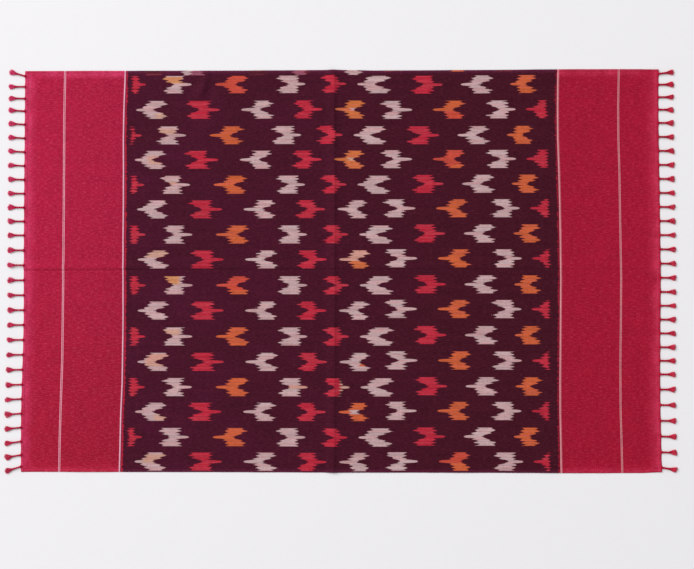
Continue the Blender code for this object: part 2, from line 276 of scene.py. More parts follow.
EVEN_ROW = (
    ("left", -0.573, "cream", 0.022, 0.038, 0.045, 0.081),
    ("right", -0.336, "red", 0.036, 0.031, 0.053, 0.087),
    ("left", -0.275, "cream", 0.034, 0.041, 0.050, 0.084),
    ("right", -0.048, "red", 0.030, 0.034, 0.049, 0.076),
    ("left", -0.012, "cream", 0.031, 0.040, 0.051, 0.078),
    ("right", 0.205, "cream", 0.037, 0.036, 0.050, 0.082),
    ("left", 0.264, "orange", 0.034, 0.043, 0.056, 0.084),
    ("right", 0.497, "cream", 0.025, 0.027, 0.042, 0.075),
    ("left", 0.527, "red", 0.026, 0.038, 0.080, 0.086),
)

# Where the tie-dyed part stops short of each seam and cuts through the outermost motifs
DYE_START = -0.589
DYE_END = 0.576

# Motifs with other dyes: row, place in the row, first dye and second dye, then where the second one is:
# from and to which distance off the middle line, and from how far behind the tip
PATCHES = (
    (0, 0, "maroon", "maroon", 0.0, 0.0, 0.2),
    (0, 1, "rose", "cream", -0.026, 0.0, 0.060),
    (0, 2, "maroon", "maroon", 0.0, 0.0, 0.2),
    (0, 3, "maroon", "rose", -0.026, 0.0, 0.040),
    (0, 5, "maroon", "maroon", 0.0, 0.0, 0.2),
    (0, 7, "maroon", "maroon", 0.0, 0.0, 0.2),
    (0, 8, "maroon", "maroon", 0.0, 0.0, 0.2),
    (1, 1, "cream", "tan", 0.003, 0.021, 0.020),
    (1, 2, "ember", "ember", 0.0, 0.0, 0.2),
    (2, 0, "cream", "straw", -0.024, -0.009, 0.052),
    (2, 4, "amber", "cream", -0.003, 0.004, 0.040),
    (2, 6, "orange", "ember", -0.026, -0.004, 0.000),
    (3, 1, "cream", "straw", 0.003, 0.018, 0.020),
    (4, 0, "cream", "straw", -0.012, 0.010, 0.034),
    (4, 4, "amber", "straw", -0.003, 0.005, 0.036),
    (4, 6, "ember", "orange", -0.026, -0.016, 0.050),
    (5, 1, "cream", "straw", 0.000, 0.009, 0.034),
    (8, 0, "cream", "straw", 0.006, 0.026, 0.014),
    (8, 4, "peach", "amber", -0.026, -0.004, 0.018),
    (9, 1, "cream", "tan", 0.003, 0.026, 0.034),
    (9, 2, "ember", "orange", -0.026, -0.014, 0.030),
    (11, 1, "cream", "straw", 0.004, 0.020, 0.030),
    (12, 0, "cream", "peach", -0.012, 0.022, 0.018),
    (12, 4, "cream", "orange", -0.012, -0.006, 0.050),
    (13, 3, "cream", "peach", -0.004, 0.005, -0.020),
    (13, 4, "straw", "red", -0.026, 0.026, 0.020),
    (14, 0, "cream", "straw", -0.024, -0.008, 0.050),
    (14, 4, "orange", "cream", -0.006, 0.006, 0.030),
    (16, 0, "cream", "straw", -0.004, 0.020, 0.020),
    (16, 6, "ember", "orange", -0.026, -0.004, 0.000),
)
NO_PATCH = (0.0, 0.0, 1.0)
ROW_SEED = 3.7
MOTIF_SEED = 1.3

# A motif's shape off its middle line: a spike whose outline goes back as the cube of the distance, times
# a slope, then straight lines from the shoulders to the corners, and behind them from the notch out to
# the arms
MOTIF_HALF_HEIGHT = 0.0250
SPIKE_SLOPE = 228000.0
SHOULDER_OFF_MIDDLE = 0.0084
CORNER_OFF_MIDDLE = 0.0223
ARM_OFF_MIDDLE = 0.0150
ARM_END = 0.0208
ARM_END_SLOPE = 2.0

# Each tied bundle of threads ends in a feather, and the strands in it slipped a little too. The spike's
# tip slips less. Edges of dye are as soft as the widths given here.
FEATHER_PITCH = 0.0084
FEATHER_SHIFT = 0.0024
STRAND_PITCH = 0.0030
SLIP_FROM_TIP = (0.006, 0.022)
CUT_SLIP_SHARE = 0.8
DYE_EDGE = 0.0032
MOTIF_SIDE_EDGE = 0.0008
PATCH_SIDE_EDGE = 0.0016
PATCH_START_EDGE = 0.005

# The number that each use of chance on the threads is drawn with. The jags are set apart by their own seed.
CHANCE_OF = {
    "bundle_shift": 0.0,
    "head_bundle": 1.0,
    "head_strand": 2.0,
    "head_thread": 3.0,
    "tail_bundle": 4.0,
    "tail_strand": 5.0,
    "tail_thread": 6.0,
    "thread_shade": 7.0,
    "strand_shade": 8.0,
    "blush": 9.0,
    "jag": 8.0,
    "fine_jag": 9.0,
}

# Noise of the handloom cloth: the size of its patches along X and Y, and how fine it is
WARP_STREAK = (0.120, 0.0022)
WEFT_STREAK = (0.0024, 0.090)
WARP_SLUB = (0.0115, 0.0028)
WEFT_SLUB = (0.0028, 0.0065)
SHADE_PATCH = (0.035, 0.030)
SOFT_DETAIL = 2.0
FINE_DETAIL = 3.0

# How much of it counts: warp and weft among the slubs; a least value, streaks, slubs, patches and weave
# in the shade, where the weave's share is painted shade in its hollows; streaks, slubs and weave in the
# height
WARP_SLUB_SHARE = 0.84
WEFT_SLUB_SHARE = 0.56
SHADE_SHARES = (0.34, 0.24, 0.60, 0.22, 0.04)
HEIGHT_SHARES = (0.5, 1.6, 0.55)
WEAVE_DEPTH = 0.00010

# Clouds and streaks of the maroon ground, where it starts to turn to its darker right-hand tone over one
# metre by painted light falloff, and how unevenly the motifs took their dye
MAROON_TURN_START = -0.5
PLUM_PATCH = (0.17, 0.12)
PLUM_GAIN = 3.2
PLUM_LEAST = 1.35
PLUM_COVER = 0.5
# Painted sheen: how much the paler hem colour covers along the field's turned hems
HEM_SHEEN_COVER = 0.8
GROUND_STREAK = (0.085, 0.013)
STREAK_LEAST = 0.80
STREAK_SHARE = 0.40
# Painted light falloff of the ground: its shade at the middle, and its fall per metre to the right
FIELD_SHADE = 1.02
FIELD_SHADE_FALL = 0.08
GROUND_CONTRAST = 0.62
BLOOM_START = 0.42
BLOOM_COVER = 0.17
DYE_COVER = 0.97
DYE_SHADE_LEAST = 0.80
THREAD_SHADE_SHARE = 0.14
STRAND_SHADE_SHARE = 0.26
BLUSH_PATCH = (0.03, 0.005)
BLUSH_COVER = 0.5

# Woven stripes of the end panels, measured from the inner or outer stripe's own line
STRIPE_HALF_WIDTH = {"left": 0.0026, "right": 0.0023}
STRIPE_CORE_HALF_WIDTH = 0.0012
INNER_STRIPE = {"left": (0.0017, 0.0050), "right": (0.0010, 0.0034)}
INNER_STRIPE_FADE = {"left": 0.0056, "right": 0.0062}
INNER_STRIPE_COVER = {"left": 0.95, "right": 0.44}
FADE_COVER = 0.3
STRIPE_COVER = 0.84
THREAD_EDGE = 0.0006

# The dark and the red line in the field beside each seam, and how far the red one's threads slipped
RED_LINE = {"left": (0.0013, 0.0045), "right": (0.0012, 0.0038)}
RED_LINE_EDGE = 0.0012
RED_LINE_COVER = 0.88
JAG_PITCH = 0.0042
JAG = 0.0040
FINE_JAG = 0.0022

# Painted sheen, paler and pinker, beside the long edges, and painted light that makes the crimson brighter
# in
# front: how far each reaches, and its strength at the edge
FRONT_SHEEN = (0.0180, 0.95)
FRONT_SHEEN_COVER = 0.8
BACK_SHEEN = (0.0240, 1.6)
BACK_SHEEN_WEIGHT = {"left": 0.92, "right": 0.70}
BACK_SHEEN_END_SHARE = 0.35
BACK_SHEEN_GROWTH = 0.16
FIELD_FRONT_SHEEN = (0.0110, 0.7)
FIELD_BACK_SHEEN = (0.0110, 1.3)
FRONT_EDGE_LIGHT = (0.045, 0.14)

# The painted sheen along each end: its reach and strength, its share at mid width and that share's slope to
# the back, and the uneven patches in it
END_SHEEN = (0.044, 1.3)
END_SHEEN_SHARE = {"left": (0.82, 0.34), "right": (0.88, -0.12)}
SHEEN_PATCH = (0.035, 0.045)
SHEEN_GAIN = 2.2
SHEEN_LEAST = 0.2

# Painted shade on the outermost rim, the light fibre ends, and painted light falloff: how the crimson
# darkens from each end, per metre, and towards the front
RIM_SHADE_WIDTH = 0.0032
RIM_SHADE_EDGE = 0.001
RIM_SHADE_COVER = {"left": 0.1, "right": 0.75}
FRONT_RIM_SHADE_COVER = 0.55
FLUFF_START = 0.49
FLUFF_COVER = {"left": 0.21, "right": 0.14}
END_LIGHT_FALL = {"left": (1.03, 0.53), "right": (1.04, 0.30)}
FRONT_SHADE_SHARE = 0.2
FRONT_SHADE_SLOPE = 1.25

# A tassel's parts, measured outwards from the cloth's end edge
CORD_COLUMNS = ("share", "radius", "axis_height")
CORD_PROFILE = (
    (0.00, 0.0016, 0.0014),
    (0.14, 0.0040, 0.0034),
    (0.30, 0.0029, 0.0028),
    (0.50, 0.0030, 0.0029),
    (0.62, 0.0027, 0.0030),
    (0.85, 0.0032, 0.0032),
    (1.00, 0.0026, 0.0032),
)
CORD_THICKNESS = {"left": 0.88, "right": 0.98}
CORD_START = -0.0040
NECK_OUT = {"left": 0.0255, "right": 0.0215}
TIP_OUT = {"left": 0.0462, "right": 0.0434}
NECK_HEIGHT = 0.0031

# Two plies make a cord. Their places off its axis and their radius are shares of its own radius.
CORD_STATIONS = 26
CORD_SIDES = 6
CORD_TURN = 1.9
PLY_SIDEWAYS = 0.45
PLY_UP = 0.40
PLY_RADIUS = 0.58

# The knots
KNOT_STATIONS = 9
KNOT_SIDES = 10
KNOT_HALF_LENGTH = 0.0030
KNOT_RADIUS = 0.0031
KNOT_END = 0.35
KNOT_RIDGES = 2
KNOT_RIDGE = 0.10
KNOT_WINDING = 5

# The brushes: their outline, how high their yarns lie, how much chance there is in them, and how they curl
BRUSH_STATIONS = 7
YARN_SIDES = 3
YARN_SEED = {"left": 11, "right": 12}
BRUSH_ROUNDING = {"left": 0.0034, "right": 0.0024}
BRUSH_WIDEST_SHARE = {"left": 0.90, "right": 1.0}
BRUSH_FLARE = {"left": 1.25, "right": 1.4}
BRUSH_NECK_SHARE = 0.34
BRUSH_END_SLANT = 0.0014
SLANT_TURN = 2.4
BRUSH_NECK_HALF_HEIGHT = 0.0010
BRUSH_END_HEIGHT = 0.0026
BRUSH_END_HALF_HEIGHT = 0.0019
BRUSH_SINK_POWER = 1.2
FAN_CHANCE = 0.05
FAN_FLATNESS = 0.75
FAN_LEAST = 0.05
TIP_CHANCE = 0.0005
WIDTH_CHANCE = 0.07
CURL_SIDEWAYS = 0.00035
CURL_SIDEWAYS_TURN = 7
CURL_UP = 0.00015
CURL_UP_TURN = 9
YARN_TAPER_PLACES = (0, 0.3, 0.9, 1)
YARN_TAPER = (0.8, 1, 1, 0.6)

# The strand map runs up a cord to its first value, over the knot by twice the second, and from 1 to 2 in
# a brush
CORD_MAP_END = 0.9
KNOT_MAP_HALF = 0.05
FIRST_KNOT = 300

# Shading of the yarns and of the sewing thread
BRUSH_FADE = 2.5
YARN_TWIST = 160.0
YARN_SHADE_LEAST = 0.80
YARN_SHADE_SHARE = 0.34
YARN_TWIST_SHARE = 0.10
YARN_DEPTH = 0.00008
THREAD_TWIST = 40.0
THREAD_SHADE_LEAST = 0.85
THREAD_TWIST_SHARE = 0.25
THREAD_DEPTH = 0.00004

# The photograph's frame on the floor
VIEW_WIDTH = 1.933
VIEW_CENTRE = (0.0139, -0.0389, 0.0)
SENSOR_WIDTH = 36.0

# The pale floor and its grain, the sky, and the large soft window far off at the upper left
FLOOR_HALF = 20.0
FLOOR_GRAIN_SCALE = 60.0
FLOOR_GRAIN_DETAIL = 4.0
FLOOR_GRAIN_SHARE = 0.02
FLOOR_GRAIN_DEPTH = 0.0002
SKY_COLOUR = (0.985, 0.98, 1.0)
WINDOW_COLOUR = (1.0, 0.995, 0.99)
WINDOW_PLACE = (-13.5, 8.5, 12.0)
WINDOW_SIZE = 16.0


def linear(red, green, blue):
    """The linear colour of an 8-bit display colour."""
    shares = np.array((red, green, blue)) / 255
    curved = ((shares + 0.055) / 1.055) ** 2.4
    return tuple(float(share) for share in np.where(shares <= 0.04045, shares / 12.92, curved))


def length_property(name, description, default):
    return bpy.props.FloatProperty(
        name=name, description=description, default=default, min=0.0, subtype="DISTANCE", unit="LENGTH"
    )


def colour_property(name, description, *display_colour):
    return bpy.props.FloatVectorProperty(
        name=name,
        description=description,
        default=linear(*display_colour),
        min=0.0,
        max=1.0,
        size=3,
        subtype="COLOR",
    )


class DupattaCloth(bpy.types.PropertyGroup):
    thickness: length_property("Thickness", "Thickness of one layer", 0.00066)
    hem_width: length_property("Hem width", "Width of the turned long edges", 0.0060)
    end_hem_width: length_property("End hem width", "Width of the turned end edges", 0.0090)
    thread_pitch: length_property("Thread pitch", "Distance between two threads of the weave", 0.0008)
    feather_length: length_property("Feather length", "How far the ikat's bundles taper", 0.0120)
    bundle_slip: length_property("Bundle slip", "How far the ikat's tied bundles slip", 0.0046)
    thread_slip: length_property("Thread slip", "How far single strands slip in the ikat", 0.0060)
    cusp: length_property("Cusp", "How far each tassel pulls the end edge outwards", 0.0028)


class DupattaColours(bpy.types.PropertyGroup):
    maroon: colour_property("Maroon", "Ground of the ikat field", 62, 13, 32)
    # Painted light falloff: the ground towards the right seam is darker and less blue
    maroon_right: colour_property("Maroon, right", "Ground towards the right seam", 61, 13, 28)
    plum: colour_property("Plum", "Purple cast in the ground", 72, 14, 42)
    bloom: colour_property("Bloom", "Light fibre ends on the maroon cloth", 150, 84, 104)
    # Painted sheen along the field's turned hems, paler than the ground
    hem_sheen: colour_property("Hem bloom", "Paler ground along the turned edges", 96, 30, 60)
    cream: colour_property("Cream", "Undyed warp of the ikat", 187, 163, 164)
    straw: colour_property("Straw", "Cream that took a little orange", 194, 156, 138)
    tan: colour_property("Tan", "Light orange patches in the cream", 200, 141, 92)
    peach: colour_property("Peach", "Cream that took the red and the orange", 197, 152, 136)
    orange: colour_property("Orange", "Orange motifs", 192, 91, 46)
    amber: colour_property("Amber", "Yellower orange motifs", 193, 106, 54)
    ember: colour_property("Ember", "Red-orange motifs", 189, 70, 47)
    red: colour_property("Red", "Red motifs and the red lines by the seams", 175, 30, 51)
    blush: colour_property("Blush", "Red cast that some tied strands took", 206, 88, 98)
    rose: colour_property("Rose", "Washed-out red at the back hem", 140, 80, 100)
    # Painted light: the crimsons are lighter at the back than in front, and on the left than on the right
    left_back: colour_property("Left panel, back", "Crimson of the left panel at its back", 171, 19, 58)
    left_front: colour_property("Left panel, front", "Crimson of the left panel in front", 158, 16, 45)
    right_back: colour_property("Right panel, back", "Crimson of the right panel at its back", 158, 13, 46)
    right_front: colour_property("Right panel, front", "Crimson of the right panel in front", 154, 12, 43)
    # Painted sheen: the pinker light that the ends and the long edges catch
    left_sheen: colour_property("Left edge", "Pinker cloth along the left end", 202, 53, 95)
    right_sheen: colour_property("Right edge", "Pinker cloth along the right end", 188, 44, 76)
    left_stripe: colour_property("Left stripes", "Cream threads of the left stripes", 243, 184, 204)
    right_stripe: colour_property("Right stripes", "Cream threads of the right stripes", 222, 170, 174)
    stripe_core: colour_property("Stripe core", "Greyer middle line of the outer stripes", 172, 74, 84)
    wine: colour_property("Wine", "Dark lines beside the inner stripes", 138, 20, 56)
    fluff: colour_property("Fluff", "Light fibre ends on the crimson cloth", 236, 170, 190)
    left_cord: colour_property("Left cords", "Twisted cords of the left tassels", 182, 9, 57)
    right_cord: colour_property("Right cords", "Twisted cords of the right tassels", 174, 8, 46)
    left_brush: colour_property("Left brushes", "Cut ends of the left tassels", 226, 66, 118)
    left_brush_front: colour_property("Left brushes, front", "Cut ends of those in front", 212, 54, 90)
    right_brush: colour_property("Right brushes", "Cut ends of the right tassels", 230, 54, 86)
    right_brush_front: colour_property("Right brushes, front", "Cut ends of those in front", 228, 54, 86)
    floor: colour_property("Floor", "Plain pale floor", 237, 236, 238)


class DupattaTassels(bpy.types.PropertyGroup):
    yarns: bpy.props.IntProperty(
        name="Yarns", description="Yarns in the brush of one tassel", default=64, min=12, max=80
    )
    yarn_radius: length_property("Yarn radius", "Radius of one yarn of the brush", 0.00034)
    brush_half_width: length_property("Brush half width", "Half the width of the brush at its end", 0.0074)
    twist_pitch: length_property("Twist pitch", "Length of one turn of the cord", 0.0110)


class DupattaStage(bpy.types.PropertyGroup):
    camera_distance: length_property("Camera distance", "From the camera to the cloth", 3.0)
    camera_elevation: bpy.props.FloatProperty(
        name="Camera elevation",
        description="Angle of the camera above the horizon",
        default=math.radians(88.3),
        subtype="ANGLE",
        unit="ROTATION",
    )
    sky_strength: bpy.props.FloatProperty(
        name="Sky strength", description="Light that comes from all round", default=0.525, min=0.0
    )
    window_power: bpy.props.FloatProperty(
        name="Window power",
        description="Soft light from the upper left",
        default=3840.0,
        min=0.0,
        unit="POWER",
    )


def column(table, columns, name):
    """One named column of a table, as an array."""
    return np.array([row[columns.index(name)] for row in table], dtype=float)


def read_table(table, columns, name, at):
    """A named column's value at each place along the table's first column, straight between its rows."""
    return np.interp(at, column(table, columns, columns[0]), column(table, columns, name))


def share_from_back(y):
    return 0.5 - y / CLOTH_WIDTH


def share_from_left(x):
    return 0.5 + x / CLOTH_LENGTH


def cross_drift(name, y):
    return read_table(CROSS_LINE_DRIFT, CROSS_LINE_COLUMNS, name, share_from_back(y))


def long_drift(name, x):
    return read_table(LONG_LINE_DRIFT, LONG_LINE_COLUMNS, name, share_from_left(x))


def drift_between(nominal, lines, drift_of, across):
    """The drift of points between named lines: it runs straight from each line to the next."""
    drift = np.array([drift_of(name, across) for name in lines])
    places = np.array(list(lines.values()))
    last = np.clip(np.searchsorted(places, nominal, side="right") - 1, 0, len(places) - 2)
    share = (nominal - places[last]) / (places[last + 1] - places[last])
    point = np.arange(len(nominal))
    return (1 - share) * drift[last, point] + share * drift[last + 1, point]


def plan(x, y):
    """Where nominal cloth points, given as flat arrays, really lie as seen from above."""
    real_x = x + drift_between(x, CROSS_LINES, cross_drift, y)
    real_y = y + drift_between(y, LONG_LINES, long_drift, x)
    return real_x, real_y


def smooth_step(share):
    """An S-curve from 0 to 1: three times the share's square, less twice its cube."""
    share = np.clip(share, 0, 1)
    return share * share * (3 - 2 * share)


def folds(x, y):
    """Height of the two fold lines at nominal points.

    The ridge is an S-curve up to its crest. Beyond that it drops as the mean of the square and of the
    eighth power of the share that is left of its reach, so it is steep at first. The valley's sides rise
    by one minus an exponential of the distance over a bend, which is short in front, and fade as the
    square of the share left. Towards the left end the valley runs a little nearer to the front.
    """
    off_ridge = x - RIDGE_X
    left = np.clip(1 + off_ridge / RIDGE_LEFT_REACH, 0, 1)
    right = np.clip(1 - off_ridge / RIDGE_RIGHT_REACH, 0, 1)
    ridge = RIDGE_HEIGHT * np.where(off_ridge < 0, smooth_step(left), (right**2 + right**8) / 2)
    shoulder = np.interp(share_from_left(x), (0, 1), (VALLEY_LEFT_SHOULDER, VALLEY_RIGHT_SHOULDER))
    drop = np.interp(share_from_left(x), (0, VALLEY_DROP_END), (VALLEY_LEFT_DROP, 0))
    off_valley = y - VALLEY_Y + drop
    shoulder = shoulder * np.where(off_valley > 0, 1, VALLEY_FRONT_SHARE)
    bend = np.where(off_valley > 0, VALLEY_BACK_BEND, VALLEY_FRONT_BEND)
    fade = np.clip(1 - np.abs(off_valley) / VALLEY_REACH, 0, 1) ** 2
    return ridge + shoulder * (1 - np.exp(-np.abs(off_valley) / bend)) * fade


def creases(x, y):
    """Height of the listed creases.

    Each is a bell across its bent line, and fades to nothing at both ends as the square of one minus the
    square of the share of its half length.
    """
    height = np.zeros_like(x)
    for row in CREASES:
        crease = dict(zip(CREASE_COLUMNS, row))
        turn = math.radians(crease["degrees"])
        off_x = x - crease["x"]
        off_y = y - crease["y"]
        share = (off_x * math.cos(turn) + off_y * math.sin(turn)) / (crease["length"] / 2)
        sideways = off_y * math.cos(turn) - off_x * math.sin(turn) - crease["bend"] * share**2
        fade = np.clip(1 - share**2, 0, 1) ** 2
        height += crease["height"] * fade * np.exp(-((sideways / crease["width"]) ** 2))
    return height


def waves(x, y):
    """Low waves over the whole cloth: a sum of sines in all directions, raised so that none goes below 0."""
    chance = np.random.default_rng(WAVE_SEED)
    total = np.zeros_like(x)
    for _ in range(WAVES):
        turn, phase = chance.uniform(0, math.tau, 2)
        number = math.tau / chance.uniform(*WAVE_LENGTHS)
        total += WAVE_HEIGHT * np.sin(number * (x * math.cos(turn) + y * math.sin(turn)) + phase)
    return np.maximum(total + WAVE_LIFT * WAVE_HEIGHT, 0)


def edge_waves(along, from_edge):
    """Slow waves of a free edge: a sum of sines along it, which fades inwards and is never below 0."""
    chance = np.random.default_rng(WAVE_SEED + 1)
    total = np.zeros_like(along)
    for _ in range(EDGE_WAVES):
        number = math.tau / chance.uniform(*EDGE_WAVE_LENGTHS)
        total += np.sin(number * along + chance.uniform(0, math.tau))
    return EDGE_WAVE_HEIGHT * np.maximum(total, 0) * np.exp(-from_edge / EDGE_WAVE_REACH)


def tassel_places(side):
    """Nominal root Y and lean in radians of each tassel along one end."""
    numbers = np.arange(TASSELS)
    from_back = read_table(ROOT_STATIONS, ROOT_COLUMNS, f"{side}_from_back", numbers)
    lean = np.radians(read_table(LEAN_STATIONS, LEAN_COLUMNS, f"{side}_degrees", numbers))
    return CLOTH_WIDTH / 2 - from_back, lean


def end_cusps(x, y, cusp):
    """How far the tassels pull the end edges out: an exponential peak at each root that fades inwards."""
    pull = np.zeros_like(x)
    for side, sign in SIGN.items():
        roots, _ = tassel_places(side)
        nearest = np.abs(y[:, None] - roots[None, :]).min(axis=1)
        from_end = CLOTH_LENGTH / 2 - sign * x
        peak = np.exp(-nearest / CUSP_HALF_WIDTH) - CUSP_LEVEL
        pull += sign * cusp * peak * np.exp(-from_end / CUSP_REACH)
    return pull


def hem_layer(from_edge, hem_width):
    """The share of a turned hem's extra layer: 1 on the hem, and an S-curve down to 0 at its inner step."""
    return smooth_step((hem_width + HEM_STEP_BEYOND - from_edge) / HEM_STEP_WIDTH)


def stitch_dent(from_edge, hem_width):
    """A bell across the line of a hem's stitches."""
    return np.exp(-(((from_edge - hem_width + STITCHES_FROM_STEP) / STITCH_DENT_WIDTH) ** 2))


def cloth_form(x, y, cloth):
    """Plan and height of the cloth's two faces at nominal points.

    The underside follows the folds, creases and waves. One layer lies on it, with one more on each
    turned hem, a line pressed in by its stitches, and a half-round free edge.
    """
    real_x, real_y = plan(x, y)
    real_x = real_x + end_cusps(x, y, cloth.cusp)
    from_long_edge = CLOTH_WIDTH / 2 - np.abs(y)
    from_end = CLOTH_LENGTH / 2 - np.abs(x)
    long_hem = hem_layer(from_long_edge, cloth.hem_width)
    end_hem = hem_layer(from_end, cloth.end_hem_width)
    pressed = stitch_dent(from_long_edge, cloth.hem_width) + stitch_dent(from_end, cloth.end_hem_width)
    layers = cloth.thickness * (1 + long_hem + end_hem - STITCH_DENT * pressed)
    inward = np.clip(np.minimum(from_long_edge, from_end) / (layers / 2), 0, 1)
    rounded = layers * (LEAST_EDGE + (1 - LEAST_EDGE) * np.sqrt(1 - (1 - inward) ** 2))
    low = folds(x, y) + creases(x, y) + waves(x, y)
    low += edge_waves(x, from_long_edge) + edge_waves(y + END_WAVE_SHIFT * np.sign(x), from_end)
    low += (layers - rounded) / 2
    return real_x, real_y, low, low + rounded


def in_steps(start, end, longest):
    """Even steps from start to end, none longer than longest."""
    return np.linspace(start, end, math.ceil((end - start) / longest) + 1)


def tidy_stations(*groups):
    """All stations in order, without those that nearly meet the one before."""
    ordered = np.unique(np.concatenate(groups))
    keep = np.diff(ordered, prepend=ordered[0] - 1) > LEAST_STEP
    return ordered[keep]


def hem_stations(edge, inward, hem_width):
    """Stations beside a free edge, close at its round rim and at its hem's step."""
    return edge + inward * np.concatenate([EDGE_STEPS, hem_width + np.array(HEM_STEPS)])


def stations_across(cloth, roots=()):
    """Nominal Y of the grid lines: close at the hems, the valley and the roots, and at each drift row."""
    half = CLOTH_WIDTH / 2
    front = hem_stations(-half, 1, cloth.hem_width)
    back = hem_stations(half, -1, cloth.hem_width)
    valley = VALLEY_Y + VALLEY_REACH * np.array(VALLEY_STEPS)
    table_rows = half - CLOTH_WIDTH * column(CROSS_LINE_DRIFT, CROSS_LINE_COLUMNS, "share_from_back")
    pulled = np.add.outer(roots, ROOT_STEPS).ravel()
    inner = half - cloth.hem_width - HEM_STEPS[-1]
    pulled = pulled[np.abs(pulled) < inner]
    between = in_steps(-inner, inner, STEP_ACROSS)
    return tidy_stations(front, back, valley, table_rows, pulled, between)


def stations_along(start, end, cloth):
    """Nominal X of the grid lines, close at the ridge and at an end edge if the stretch has it."""
    groups = [in_steps(start, end, STEP_ALONG)]
    if start < RIDGE_X < end:
        groups.append(RIDGE_X - RIDGE_LEFT_REACH * np.array(RIDGE_LEFT_STEPS))
        groups.append(RIDGE_X + RIDGE_RIGHT_REACH * np.array(RIDGE_RIGHT_STEPS))
    if start <= CROSS_LINES["left_edge"]:
        groups.append(hem_stations(start, 1, cloth.end_hem_width))
    if end >= CROSS_LINES["right_edge"]:
        groups.append(hem_stations(end, -1, cloth.end_hem_width))
    return tidy_stations(*groups)


def closed_grid(bottom, top):
    """Points and outward faces of the shell between two grids of points, each (along X, along Y, 3)."""
    rows, columns = bottom.shape[:2]
    count = rows * columns
    index = np.arange(count).reshape(rows, columns)
    quads = np.stack([index[:-1, :-1], index[1:, :-1], index[1:, 1:], index[:-1, 1:]], axis=-1)
    quads = quads.reshape(-1, 4)
    rim = np.concatenate([index[:-1, 0], index[-1, :-1], index[:0:-1, -1], index[0, :0:-1]])
    following = np.roll(rim, -1)
    sides = np.stack([rim, following, following + count, rim + count], axis=-1)
    faces = np.concatenate([quads[:, ::-1], quads + count, sides])
    return np.concatenate([bottom.reshape(-1, 3), top.reshape(-1, 3)]), faces.tolist()


def tubes(paths, radii, sides):
    """Closed tubes along paths, given as (tube, station, 3).

    The ring round a station stands square to the path there: radius times the cosine of the turn
    sideways, plus radius times its sine upwards. Radii are (tube, station) or (tube, station, side).
    """
    heading = np.gradient(paths, axis=1)
    heading /= np.linalg.norm(heading, axis=2, keepdims=True)
    sideways = np.cross((0, 0, 1), heading)
    sideways /= np.linalg.norm(sideways, axis=2, keepdims=True)
    upward = np.cross(heading, sideways)
    turn = math.tau * np.arange(sides) / sides
    radii = np.broadcast_to(radii.reshape(*paths.shape[:2], -1), (*paths.shape[:2], sides))
    offset = sideways[:, :, None] * np.cos(turn)[:, None] + upward[:, :, None] * np.sin(turn)[:, None]
    points = paths[:, :, None] + radii[..., None] * offset
    index = np.arange(points[..., 0].size).reshape(points.shape[:3])
    near, far = index[:, :-1], index[:, 1:]
    quads = np.stack([near, np.roll(near, -1, 2), np.roll(far, -1, 2), far], axis=-1)
    faces = quads.reshape(-1, 4).tolist()
    faces += index[:, 0, ::-1].tolist()
    faces += index[:, -1].tolist()
    return points.reshape(-1, 3), faces


def add_piece(name, points, faces, material):
    """A new piece with its place in its mesh, riding with the cloth."""
    mesh = bpy.data.meshes.new(name)
    mesh.from_pydata(points.tolist(), [], faces)
    mesh.shade_smooth()
    mesh.materials.append(material)
    piece = bpy.data.objects.new(name, mesh)
    bpy.context.scene.collection.objects.link(piece)
    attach(piece, "root")
    return piece


def corner_points(mesh):
    """The point that each face corner stands on."""
    found = np.zeros(len(mesh.loops), dtype=np.int32)
    mesh.loops.foreach_get("vertex_index", found)
    return found


def lay_map(mesh, name, values):
    """A UV map from two values at each face corner."""
    layer = mesh.uv_layers.new(name=name)
    layer.data.foreach_set("uv", values.astype(np.float32).ravel())


def lay_attribute(mesh, name, values):
    """An attribute from three values at each face corner."""
    attribute = mesh.attributes.new(name, "FLOAT_VECTOR", "CORNER")
    attribute.data.foreach_set("vector", values.astype(np.float32).ravel())


def weave(name, start, end, across, cloth, material):
    """One woven stretch of the cloth as a thin closed shell, with its nominal places as a map in metres."""
    along = stations_along(start, end, cloth)
    x, y = (grid.ravel() for grid in np.meshgrid(along, across, indexing="ij"))
    real_x, real_y, low, high = cloth_form(x, y, cloth)
    shape = (len(along), len(across), 3)
    bottom = np.stack([real_x, real_y, low], axis=-1).reshape(shape)
    top = np.stack([real_x, real_y, high], axis=-1).reshape(shape)
    points, faces = closed_grid(bottom, top)
    piece = add_piece(name, points, faces, material)
    nominal = np.tile(np.stack([x, y], axis=-1), (2, 1))[corner_points(piece.data)]
    lay_map(piece.data, "cloth_map", nominal)
    return piece, nominal


